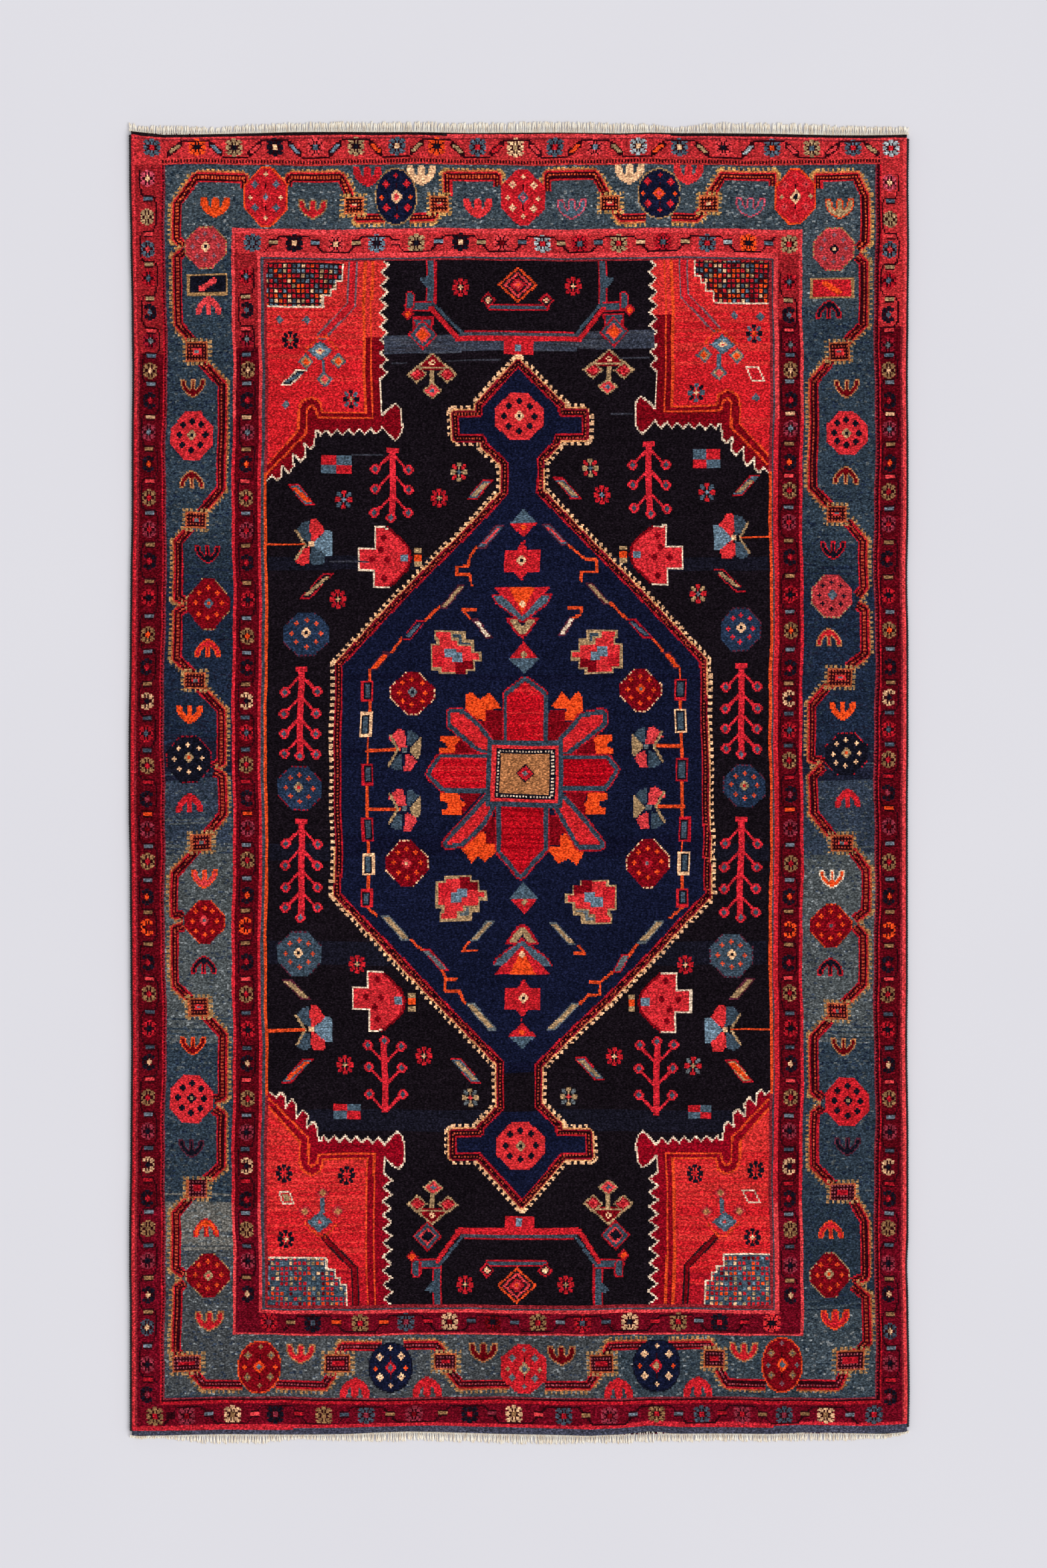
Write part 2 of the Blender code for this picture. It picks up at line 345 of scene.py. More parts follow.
# from the edge inwards: name, left, right, bottom, top, dye
FRAMES = (
    ("outer_coral", -640.0, 640.0, -1077.0, 1077.0, "coral"),
    ("outer_left", -640.0, -620.0, -1077.0, 1077.0, "coral_left"),
    ("outer_edge", -631.0, 631.0, -1057.0, 1062.5, "edge_red"),
    ("outer_guard", -628.5, 628.5, -1057.0, 1059.5, "guard_maroon"),
    ("border_line", -590.8, 595.4, -1022.8, 1030.5, "crimson"),
    ("border_dots", -588.0, 592.0, -1018.9, 1018.8, "ring"),
    ("border_edge", -584.4, 588.2, -1015.3, 1018.8, "border_red"),
    ("border", -581.7, 585.4, -1012.0, 1018.8, "border_teal"),
    ("guard_line", -472.3, 467.6, -911.0, 912.0, "coral"),
    ("inner_guard", -467.0, 462.4, -905.6, 905.4, "guard_maroon"),
    ("guard_edge", -428.8, 426.8, -874.2, 873.2, "coral"),
    ("field_line", -423.6, 420.8, -868.6, 867.6, "panel_band"),
    ("field_edge", -419.4, 417.0, -864.4, 863.2, "edge_red"),
    ("field", -415.2, 412.6, -861.0, 859.5, "field_black"),
)
for name, left, right, bottom, top, dye in FRAMES:
    box(left, bottom, right, top, dye)
    if name == "outer_left":
        box(left, -700, left + 12, 600, "coral_mid")
    if name == "outer_guard":
        box(left - 2.5, 709, 0, top, "guard_side_red")
        box(0, 752, right + 2.5, top, "guard_red")
        box(left - 2.5, 1020, right + 2.5, top, "guard_red")
    if name == "inner_guard":
        box(left, 716, 0, top, "guard_side_red")
        box(0, 765, right, top, "guard_side_red")
        box(left, 872, right, top, "guard_red")
    if name in ("outer_guard", "inner_guard"):
        box(left, bottom, right, -700, "guard_low")
    if name in ("guard_line", "guard_edge"):
        box(left, -690, right, 600, "coral_mid")
    if name == "field_edge":
        box(left, -513, right, 511, "orange_line")

# dyes of the main border down each side: from y, left dye, right dye
BORDER_DYES = (
    (1017, "border_top", "border_top"), (880, "border_teal", "border_top"),
    (780, "border_teal", "border_teal"), (392, "border_dusk", "border_dusk"),
    (330, "border_deep", "border_deep"), (62, "border_ink", "border_ink"),
    (5, "border_slate", "border_slate"), (-118, "border_ash", "border_ash"),
    (-428, "border_teal", "border_teal"), (-690, "border_khaki", "border_dusk"),
    (-772, "border_low", "border_dusk"), (-868, "border_low", "border_top"),
)
RUN_ON = 60                  # how far up rows of one batch still turn up in the batch above it
for (top, left_dye, right_dye), (bottom, *_) in zip(BORDER_DYES, BORDER_DYES[1:] + ((-1010,),)):
    for left, right, dye in ((-581.7, -472.3, left_dye), (467.6, 585.4, right_dye)):
        box(left, bottom, right, top, dye)
        if top > 1000:
            continue
        for row in np.flatnonzero((row_y > top) & (row_y < top + RUN_ON)):
            if dice.random() > ((row_y[row] - top) / RUN_ON) ** 0.5:
                start, end = np.sort(dice.uniform(left - 90, right + 90, 2))
                box(max(start, left), row_y[row] - ROW / 2, min(end, right), row_y[row] + ROW / 2, dye)
box(-472.3, 912, 467.6, 1018.8, "border_top")
box(-472.3, -1012, 467.6, -911, "border_low")
box(150, -1012, 467.6, -911, "low_teal")

# tips of lighter and darker wool scattered over the blue ground, two knots long: ground, lighter, darker
FLECKS = (("border_top", "fleck", "border_dusk"), ("border_teal", "border_ash", "border_deep"),
          ("border_dusk", "border_slate", "border_deep"), ("border_deep", "border_dusk", "border_ink"),
          ("border_slate", "border_ash", "border_dusk"), ("border_ash", "fleck", "border_slate"),
          ("border_khaki", "fleck", "border_ash"), ("border_low", "fleck", "border_slate"),
          ("low_teal", "fleck", "border_dusk"))
ground = chart.copy()
for dye, lighter, darker in FLECKS:
    for fleck, share in ((lighter, 0.035), (darker, 0.05)):
        starts = dice.random(chart.shape) < share
        chart[(ground == CODE[dye]) & (starts | np.roll(starts, 1, axis=1))] = CODE[fleck]

# the end rows: black at the top, red and blue-grey at the bottom, where they slant a little
box(LEFT, 1068.6, RIGHT, TOP, "end_black")
box(LEFT, 1065.9, -120, TOP, "end_black")
box(250, 1065.9, RIGHT, TOP, "end_black")
where, x, y = patch(LEFT, BOTTOM, RIGHT, -1050)
lay(where, y < -1055.5 + 0.0030 * x, "end_red")
lay(where, y < -1062.2 + 0.0035 * x, "end_navy")

# ticks above the border at the top end
box(-590.8, 1018.8, 595.4, 1030.5, "top_line")
where, x, y = patch(-590.8, 1021.8, 595.4, 1027.3)
lay(where, np.round(x / KNOT) % 2 == 0, "ring")
# down the sides, dots on every second knot of every second row
for left, right in ((-588.0, -584.4), (588.2, 592.0)):
    where, x, y = patch(left, -1010, right, 1010)
    rows, knots = np.indices(x.shape)
    chart[where] = CODE["ring"]
    lay(where, (knots % 2 == 0) & (rows % 2 == 0), "red_line")

# %% [markdown]
# A stem with comb teeth runs round the main border from box to box, and tulips and round flowers lie in
# its bends. The tulips are charted with one sign for each knot. The stems are runs of straight
# pieces, striped by how far a knot lies from the run and on which side.

# %% Vine of the main border
END_BORDER = 860             # beyond this y a motif lies in the border of an end
TULIP = (
    "###....###....###",
    "####...###...####",
    "####...###...####",
    "####...###...####",
    ".####..###..####.",
    ".#####.###.#####.",
    "..#############..",
    "...###########...",
    "....#########....",
    ".....#######.....",
    ".......###.......",
)
BROAD_TULIP = (
    "####....###....####",
    "####...#####...####",
    "#####..#####..#####",
    "#####..#####..#####",
    "#####..#####..#####",
    ".#####.#####.#####.",
    ".#################.",
    "..###############..",
    "...#############...",
    "....###########....",
    "......#######......",
    "........###........",
)


def tulip(x0, y0, dye, outline, point):
    """A three-pronged tulip; an outline takes the knots of it that touch the ground."""
    rows = BROAD_TULIP if abs(y0) > END_BORDER else TULIP
    motif = np.array([[symbol == "#" for symbol in text] for text in rows])
    core = motif
    if outline:
        padded = np.pad(motif, 1)
        core = motif & padded[:-2, 1:-1] & padded[2:, 1:-1] & padded[1:-1, :-2] & padded[1:-1, 2:]
    symbols = np.where(core, "#", np.where(motif, "o", "."))
    stamp(["".join(row) for row in symbols], x0, y0, {"#": dye, "o": outline}, flip_y=point == "up")


# dyes of the stems in the bottom border (-1), the side borders (0) and the top border (1):
# inner line, beads, outer line, foot of the comb, comb
STEM_DYES = {-1: ("crimson", "dull_bead", "crimson", "orange_khaki", "comb"),
             0: ("crimson", "bead", "crimson", "orange_khaki", "comb"),
             1: ("red", "fire_bead", "red", "stem_orange", "comb_gold")}


def vine(comb_left, points):
    """A stem: an inner line, a dark band with beads, an outer line, then comb teeth on the outer side."""
    points = np.asarray(points, float)
    where, x, y = around(points, 26)
    side, run = along(points, x, y)
    if comb_left:
        side = -side
    length = np.hypot(*np.diff(points, axis=0).T).sum()
    ends = (run > 0.01) & (run < length - 0.01)
    middle = ends & (np.abs(side - 0.4) < 1.6)
    inner, bead, outer, foot, comb = STEM_DYES[int(points[:, 1].min() > END_BORDER)
                                               - int(points[:, 1].max() < -END_BORDER)]
    for low, high, dye in ((-7.0, -4.2, inner), (-4.2, 5.0, "ring"), (5.0, 7.6, outer), (7.6, 10.2, foot)):
        lay(where, (side > low) & (side <= high) & ends, dye)
    lay(where, middle, "dark_red")
    lay(where, middle & (run % 5.2 < 2.7), bead)
    lay(where, (side > 10.2) & (side <= 14.6) & (run % 8.1 < 4.0) & ends, comb)


def square(x0, y0, wide, tall):
    """A box on the vine: comb teeth, a line, a dotted frame, a red centre with a spot."""
    where, x, y = patch(x0 - wide, y0 - tall, x0 + wide, y0 + tall)
    across, up = wide / 2 - np.abs(x - x0), tall / 2 - np.abs(y - y0)
    depth = np.minimum(across, up)
    run = np.where(across < up, y - y0, x - x0) + 50.0
    at_end = int(y0 > END_BORDER) - int(y0 < -640)      # the lowest side boxes have the dyes of the end
    _, bead, _, foot, teeth = STEM_DYES[at_end]
    lay(where, (depth >= 0) & (depth < 5.6) & (run % 8.1 < 4.4), teeth)
    centre = "crimson" if at_end < 0 else "bright_red"
    for low, high, dye in ((5.6, 8.2, foot), (8.2, 16.4, "ring"), (16.4, 40, centre)):
        lay(where, (depth >= low) & (depth < high), dye)
    beads = (np.round(x / KNOT) % 2 == 0) & (np.round(y / ROW) % 2 == 0)
    lay(where, (depth >= 8.2) & (depth < 16.4) & beads, bead)
    box(x0 - 3.5, y0 - 1.5, x0 + 3.5, y0 + 1.5, {-1: "maroon", 0: "grey", 1: "cream"}[at_end])


# stems: whether the comb is on the left of the way it goes, points
VINES = (
    (True, ((-454, 980), (-454, 996), (-532, 996), (-562, 955), (-562, 897), (-549, 884))),
    (True, ((-549, 877), (-562, 866), (-562, 756), (-533, 722))),
    (False, ((-533, 700), (-491, 657), (-491, 487), (-526, 447))),
    (True, ((-540, 420), (-563, 395), (-563, 305), (-550, 300))),
    (True, ((-549, 288), (-562, 281), (-562, 205), (-536, 180))),
    (False, ((-524, 155), (-490, 118), (-490, 33), (-504, 28))),
    (False, ((-504, 16), (-490, 10), (-490, -52), (-520, -90))),
    (True, ((-530, -108), (-566, -150), (-566, -214), (-551, -218))),
    (True, ((-551, -236), (-566, -241), (-566, -330), (-536, -360))),
    (False, ((-522, -380), (-490, -415), (-490, -514), (-504, -519))),
    (False, ((-504, -537), (-491, -545), (-491, -630), (-522, -660))),
    (True, ((-535, -680), (-565, -712), (-565, -800), (-550, -812))),
    (True, ((-550, -826), (-563, -834), (-563, -935), (-547, -955))),
    (True, ((-540, -965), (-517, -992), (-455, -992))),
    (True, ((-400, -992), (-322, -992), (-303, -962))),
    (False, ((-300, -945), (-292, -929), (-228, -929))),
    (False, ((-192, -929), (-137, -929), (-124, -946))), (True, ((-118, -965), (-97, -991), (-15, -991))),
    (False, ((-382, 985), (-378, 999), (-296, 999), (-280, 965))),
    (True, ((-270, 948), (-264, 931), (-222, 931))), (True, ((-182, 931), (-146, 931), (-136, 944))),
    (False, ((-117, 966), (-117, 999), (-36, 999), (-35, 984))),
    (False, ((48, 978), (48, 1002), (126, 1002), (145, 968))),
    (True, ((158, 948), (170, 932), (210, 932))), (True, ((252, 932), (292, 932), (305, 945))),
    (False, ((315, 965), (335, 1001), (416, 1001), (416, 985))),
    (False, ((492, 980), (492, 998), (553, 998), (568, 965), (568, 892), (556, 882))),
    (False, ((556, 868), (568, 856), (568, 757), (540, 730))),
    (True, ((515, 700), (485, 662), (485, 487), (515, 455))),
    (False, ((540, 430), (567, 398), (567, 322), (556, 308))),
    (False, ((555, 292), (567, 284), (567, 213), (538, 190))),
    (True, ((512, 160), (484, 128), (484, 42), (504, 36))),
    (True, ((504, 28), (486, 12), (486, -48), (518, -88))),
    (False, ((545, -108), (570, -142), (570, -208), (552, -224))),
    (False, ((553, -236), (567, -250), (567, -330), (535, -362))),
    (True, ((515, -388), (486, -420), (486, -510), (500, -521))),
    (True, ((500, -537), (487, -546), (487, -630), (520, -662))),
    (False, ((550, -690), (569, -722), (569, -814), (548, -822))),
    (False, ((549, -830), (570, -848), (570, -922), (552, -940))),
    (False, ((538, -962), (525, -990), (458, -990))), (False, ((408, -990), (345, -990), (330, -965))),
    (True, ((322, -942), (312, -928), (248, -928))), (True, ((212, -928), (152, -928), (142, -945))),
    (False, ((130, -965), (112, -991), (42, -991))),
)
for row in VINES:
    vine(*row)

# boxes on the vine: x, y, wide, tall
SQUARES = (
    (-533, 711, 49, 46), (-532, 434, 46, 40), (-532, 168, 46, 40), (-524, -98, 46, 38),
    (-529, -368, 46, 42), (-529, -669, 46, 42), (-546, -957, 60, 40), (-300, -955, 54, 42),
    (-122, -955, 49, 39), (-274, 953, 44, 38), (-133, 953, 44, 38), (151, 956, 44, 38),
    (313, 955, 44, 38), (527, 712, 47, 43), (524, 443, 44, 38), (528, 172, 50, 40), (532, -98, 48, 38),
    (525, -375, 46, 40), (534, -675, 52, 40), (545, -951, 58, 43), (137, -955, 53, 42),
    (322, -950, 47, 42),
)
for row in SQUARES:
    square(*row)

# tulips: x, y, dye, outline, which way the point is
TULIPS = (
    (-500, 946, "orange", None, "down"), (-250, 998, "red", None, "down"),
    (-160, 999, "cream", None, "down"), (-340, 945, "red", "comb", "down"),
    (-68, 945, "bright_red", None, "down"), (-512, 785, "coral", None, "up"),
    (-538, 650, "dark_red", "tan", "down"), (-540, 500, "dark_red", "tan", "up"),
    (-513, 375, "night", "crimson", "down"), (-513, 222, "red", "orange", "up"),
    (-541, 110, "orange", None, "down"), (-543, -35, "red", None, "up"),
    (-520, -160, "coral", "orange", "down"), (-520, -300, "night", "crimson", "up"),
    (-538, -432, "dark_red", "orange_line", "down"), (-540, -605, "night", "mauve", "down"),
    (-516, -735, "orange", "red", "up"), (-511, -888, "red", "tan", "down"),
    (-360, -942, "red", "tan", "down"), (-271, -997, "red", None, "up"), (-153, -997, "red", None, "up"),
    (-61, -942, "dark_red", "tan", "down"), (87, 945, "steel", "pink", "down"),
    (182, 1000, "cream", None, "down"), (278, 1000, "bright_red", None, "down"),
    (382, 948, "steel", "pink", "down"), (527, 944, "khaki", "orange_line", "down"),
    (511, 780, "night", "crimson", "up"), (540, 649, "dark_red", "tan", "down"),
    (538, 507, "dark_red", "tan", "up"), (520, 382, "night", "crimson", "down"),
    (510, 238, "red", "tan", "up"), (534, 115, "orange", None, "down"), (541, -25, "red", None, "up"),
    (515, -160, "orange", "ivory", "down"), (513, -303, "night", "crimson", "up"),
    (533, -435, "dark_red", "tan", "down"), (541, -603, "night", "mauve", "down"),
    (515, -738, "red", "orange_line", "up"), (518, -886, "red", "orange_line", "down"),
    (372, -940, "red", "tan", "down"), (296, -998, "red", None, "up"), (162, -998, "red", None, "up"),
    (70, -943, "dark_red", "tan", "down"),
)
for row in TULIPS:
    tulip(*row)
print("stems:", len(VINES), "boxes:", len(SQUARES), "tulips:", len(TULIPS))

# %% [markdown]
# A knotted circle is really an octagon, because its edge can only step by whole knots. The small round
# flowers have a ring of eight dots, and the larger ones in the end borders hold blooms of their own.

# %% Rosettes of the main border
DOT = (
    ".##.",
    "####",
    "####",
    ".##.",
)
SMALL_DOT = (
    ".#.",
    "###",
    ".#.",
)
STAR = (
    "..oo..",
    ".oooo.",
    "oo##oo",
    "oo##oo",
    ".oooo.",
    "..oo..",
)


def rosette(x0, y0, wide, tall, ground, outline, dots, eye, heart, spread=0.6):
    """A round flower: ground with a thin outline, a ring of eight dots, an eye with a heart."""
    octagon(x0, y0, wide, tall, ground, outline, 2.9, 1.25 if ground == "maroon" else 1.36)
    dot = DOT if ground in ("jug_red", "bright_red", "red") else SMALL_DOT
    for turn in np.arange(8) * 2 * np.pi / 8 + np.pi / 2:
        stamp(dot, x0 + np.cos(turn) * wide / 2 * spread, y0 + np.sin(turn) * tall / 2 * spread, {"#": dots})
    stamp(STAR, x0, y0, {"o": eye, "#": heart})


FLOWER = (
    "..#..",
    ".###.",
    "##o##",
    ".###.",
    "..#..",
)


BOUQUET_EDGE = 4.6


def bouquet(x0, y0, wide, tall, ground, outline, corners, sides, ends, eye, heart):
    """The larger round flower: four blooms on the diagonals, two at the sides, one above and below."""
    where, x, y = patch(x0 - wide, y0 - tall, x0 + wide, y0 + tall)
    across, up = np.abs(x - x0) / (wide / 2), np.abs(y - y0) / (tall / 2)
    # an octagon with steep slants, or a round shape for the dark grounds
    reach = np.maximum(np.maximum(across, up), (0.787 * across + up) / 1.197)
    if ground in ("navy", "maroon"):
        reach = np.hypot(across, up)
    lay(where, reach <= 1.0, outline)
    lay(where, reach <= 1 - 2 * BOUQUET_EDGE / (wide + tall), ground)
    for dx in (-0.5, 0.5):
        for dy in (-0.40, 0.40):
            stamp(FLOWER, x0 + dx * wide / 2, y0 + dy * tall / 2, {"#": corners, "o": heart})
        stamp(SMALL_DOT, x0 + dx * 1.4 * wide / 2, y0 - 2, {"#": sides})
    for dy in (-0.72, 0.72):
        stamp(SMALL_DOT, x0, y0 + dy * tall / 2, {"#": ends})
        line([(x0, y0 + dy * 0.62 * tall / 2), (x0, y0 + dy * 0.4 * tall / 2)], 2.5, "ring")
    lozenge(x0, y0, 20, 24, eye, heart, step=5.0)


# rosettes: x, y, wide, tall, ground, outline, dots, eye, heart
ROSETTES = (
    (-515, 882, 68, 68, "rosette_coral", "comb", "dusty", "cream", "night"),
    (-539, 573, 70, 80, "jug_red", "jug_red", "night", "khaki", "night"),
    (-513, 295, 72, 86, "maroon", "comb", "orange", "steel", "orange"),
    (-543, 38, 74, 76, "night", "red_line", "cream", "khaki", "orange"),
    (-517, -228, 68, 74, "maroon", "orange_line", "orange", "coral", "grey"),
    (-541, -521, 70, 82, "jug_red", "jug_red", "night", "night", "khaki"),
    (-513, -813, 72, 74, "maroon", "comb", "orange_line", "khaki", "coral"),
    (519, 880, 66, 72, "rosette_coral", "comb", "dusty", "night", "cream"),
    (538, 578, 68, 72, "jug_red", "jug_red", "night", "khaki", "night"),
    (514, 307, 68, 72, "rosette_coral", "khaki", "night", "steel", "grey"),
    (540, 47, 72, 70, "night", "crimson", "cream", "khaki", "orange"),
    (514, -234, 70, 72, "maroon", "orange_line", "orange", "crimson", "grey"),
    (539, -526, 72, 82, "red", "red", "night", "night", "khaki"),
    (511, -812, 66, 76, "maroon", "khaki", "orange_line", "khaki", "orange"),
)
for row in ROSETTES:
    rosette(*row)

# bouquets: x, y, wide, tall, ground, outline, blooms on the diagonals, at the sides, at the ends, eye, heart
BOUQUETS = (
    (-418, 966, 72, 98, "red", "orange", "steel", "cream", "cream", "bright_red", "light_blue"),
    (-204, 966, 70, 94, "navy", "comb", "red", "orange", "red", "cream", "coral"),
    (7, 966, 72, 92, "red", "red", "cream", "cream", "cream", "steel", "pink"),
    (232, 970, 72, 84, "navy", "comb", "red", "orange", "red", "orange", "coral"),
    (454, 967, 68, 92, "red", "orange", "coral", "khaki", "coral", "cream", "night"),
    (-427, -964, 72, 88, "maroon", "orange_line", "guard_khaki", "orange", "guard_khaki", "orange", "steel"),
    (-213, -962, 74, 82, "navy", "night", "cream", "orange", "cream", "red", "steel"),
    (7, -965, 76, 84, "red", "red", "grey", "khaki", "grey", "khaki", "steel"),
    (228, -961, 80, 88, "navy", "night", "cream", "orange", "cream", "red", "khaki"),
    (434, -958, 68, 92, "maroon", "orange_line", "guard_khaki", "grey", "dusty", "orange", "steel"),
)
for row in BOUQUETS:
    bouquet(*row)

# boxes with a slanted bar: x, y, wide, tall, ground, outline, bar
for x0, y0, wide, tall, ground, outline, bar in ((-513, 821, 66, 33, "night", "comb", "coral"),
                                                 (516, 817, 70, 32, "red", "comb", "orange")):
    corners = ((-wide, -tall), (wide, -tall), (wide, tall), (-wide, tall))
    fill(moved(corners, x0, y0, 0.5, 0.5), ground, outline)
    slant = 1 if x0 < 0 else -1
    line([(x0 - 11, y0 - 7 * slant), (x0 + 11, y0 + 7 * slant)], 9, bar)
print("round flowers:", len(ROSETTES), "bouquets:", len(BOUQUETS))

# %% [markdown]
# Two narrow guard stripes frame the main border. In each a thin dark line winds between small flowers and
# bars. The flowers alternate in dye down the rug, so their places and dyes are a table, read once for the
# left side and once for the right.

# %% Guards
SIDE_FLOWER = (
    "...PPP...",
    ".PPoPoPP.",
    "PPPoPoPPP",
    "oPPoCoPPo",
    "PooCCCooP",
    "PooCCCooP",
    "oPPoCoPPo",
    "PPPoPoPPP",
    ".PPoPoPP.",
    "...PPP...",
)
OPEN_FLOWER = (
    "...PPP...",
    ".PPoPoPP.",
    "PPPoPoPP.",
    "oPPoC.o..",
    "PooCCC...",
    "PooCCC...",
    "oPPoC.o..",
    "PPPoPoPP.",
    ".PPoPoPP.",
    "...PPP...",
)
END_FLOWER = (
    "....PPP....",
    ".PPoPPPoPP.",
    "PPPPoPoPPPP",
    ".oPPoPoPPo.",
    "PPooCCCooPP",
    "PPPoCCCoPPP",
    "PPooCCCooPP",
    ".oPPoPoPPo.",
    "PPPPoPoPPPP",
    ".PPoPPPoPP.",
    "....PPP....",
)
BAR = (
    "oooooo",
    "BBBBBB",
    "BBBBBB",
    "oooooo",
)

# flowers of the side guards from the top: left y, right y, petals, centre
SIDE_FLOWERS = (
    (994, 987, "pink", "cream"), (932, 925, "khaki", "khaki"), (880, 875, "steel", "coral"),
    (831, 825, "crimson", "steel"), (775, 772, "night", "steel"), (728, 722, "red_line", "grey"),
    (680, 680, "khaki", "cream"), (628, 628, "night", "crimson"), (577, 582, "pink", "pale_grey"),
    (525, 528, "night", "orange"), (468, 480, "khaki", "crimson"), (417, 428, "pink", "crimson"),
    (364, 370, "night", "crimson"), (302, 308, "crimson", "night"), (242, 251, "khaki", "orange"),
    (189, 190, "night", "crimson"), (133, 139, "cream", "night"), (82, 87, "crimson", "steel"),
    (27, 36, "khaki", "crimson"), (-28, -19, "night", "pink"), (-78, -74, "pink", "dark_red"),
    (-131, -133, "khaki", "crimson"), (-187, -189, "night", "orange"), (-239, -242, "orange", "dark_red"),
    (-296, -298, "night", "crimson"), (-349, -349, "khaki", "crimson"), (-408, -408, "crimson", "night"),
    (-463, -466, "night", "cream"), (-521, -521, "khaki", "crimson"), (-575, -577, "pink", "night"),
    (-630, -633, "cream", "night"), (-686, -687, "night", "crimson"), (-737, -737, "khaki", "khaki"),
    (-788, -796, "pink", "night"), (-846, -846, "night", "cream"), (-897, -905, "steel", "cream"),
    (-958, -958, "pink", "night"), (-1008, -1014, "night", "pink"),
)
# bars between them: left y, right y, dye
SIDE_BARS = (
    (962, 957, "steel"), (904, 898, "coral"), (855, 848, "khaki"), (799, 797, "khaki"),
    (747, 747, "coral"), (703, 704, "steel"), (656, 660, "pale_grey"), (602, 607, "cream"),
    (550, 557, "khaki"), (497, 505, "coral"), (444, 452, "pale_grey"), (390, 398, "khaki"),
    (330, 338, "khaki"), (272, 279, "pale_grey"), (214, 218, "pale_grey"), (160, 163, "khaki"),
    (107, 113, "steel"), (53, 61, "steel"), (0, 9, "crimson"), (-52, -45, "orange"),
    (-105, -102, "pale_grey"), (-160, -160, "pale_grey"), (-213, -213, "khaki"), (-266, -269, "khaki"),
    (-323, -325, "coral"), (-380, -381, "steel"), (-436, -437, "steel"), (-490, -494, "coral"),
    (-548, -550, "pale_grey"), (-604, -605, "steel"), (-657, -661, "crimson"), (-708, -712, "pale_grey"),
    (-763, -765, "steel"), (-818, -820, "khaki"), (-872, -877, "khaki"), (-928, -932, "pale_grey"),
    (-982, -986, "crimson"),
)
# duller copies of the guards' dyes, taken below y 700; above it the guards keep the brighter dyes, painted
# light for the more brightly lit top end
SHADED_GUARD_DYES = dict(khaki="guard_khaki", steel="guard_steel", cream="guard_cream", pink="guard_pink",
                    pale_grey="guard_grey", light_blue="guard_grey")


def in_guard(motif, x0, y0, flip_x=False, **dyes):
    """A motif of the guards: below y 700 in duller copies of its dyes, above it in the brighter dyes,
    painted light.
    """
    if y0 < 700:
        dyes = {symbol: SHADED_GUARD_DYES.get(dye, dye) for symbol, dye in dyes.items()}
    stamp(motif, x0, y0, dyes, flip_x)


# guard columns: x, which y to take, top, bottom, side of the winding line at the first flower
GUARD_COLUMNS = ((-610.5, 0, 1010, -1020, -1), (-449, 0, 870, -865, 1),
                 (445, 1, 870, -865, -1), (610, 1, 1010, -1022, 1))
for x0, column, top, bottom, way in GUARD_COLUMNS:
    flowers = [row for row in SIDE_FLOWERS if bottom < row[column] < top]
    bars = [row for row in SIDE_BARS if bottom < row[column] < flowers[0][column]]
    points = [(x0 + way * 13, flowers[0][column] + 14)]
    for number, (flower, bar) in enumerate(zip(flowers, bars)):
        side = way * (-1) ** number
        points += [(x0 + side * 13, flower[column] - 12), (x0 + side * 9, bar[column] + 5.5),
                   (x0 - side * 9, bar[column] + 5.5), (x0 - side * 13, bar[column] - 4)]
    line(points, 2.6, "ring")
    for number, row in enumerate(flowers):
        motif = OPEN_FLOWER if row[2] in ("night", "orange", "cream") else SIDE_FLOWER
        in_guard(motif, x0, row[column], way * (-1) ** number < 0, P=row[2], C=row[3], o="ring")
    for row in bars:
        in_guard(BAR, x0, row[column], o="ring", B=row[2])

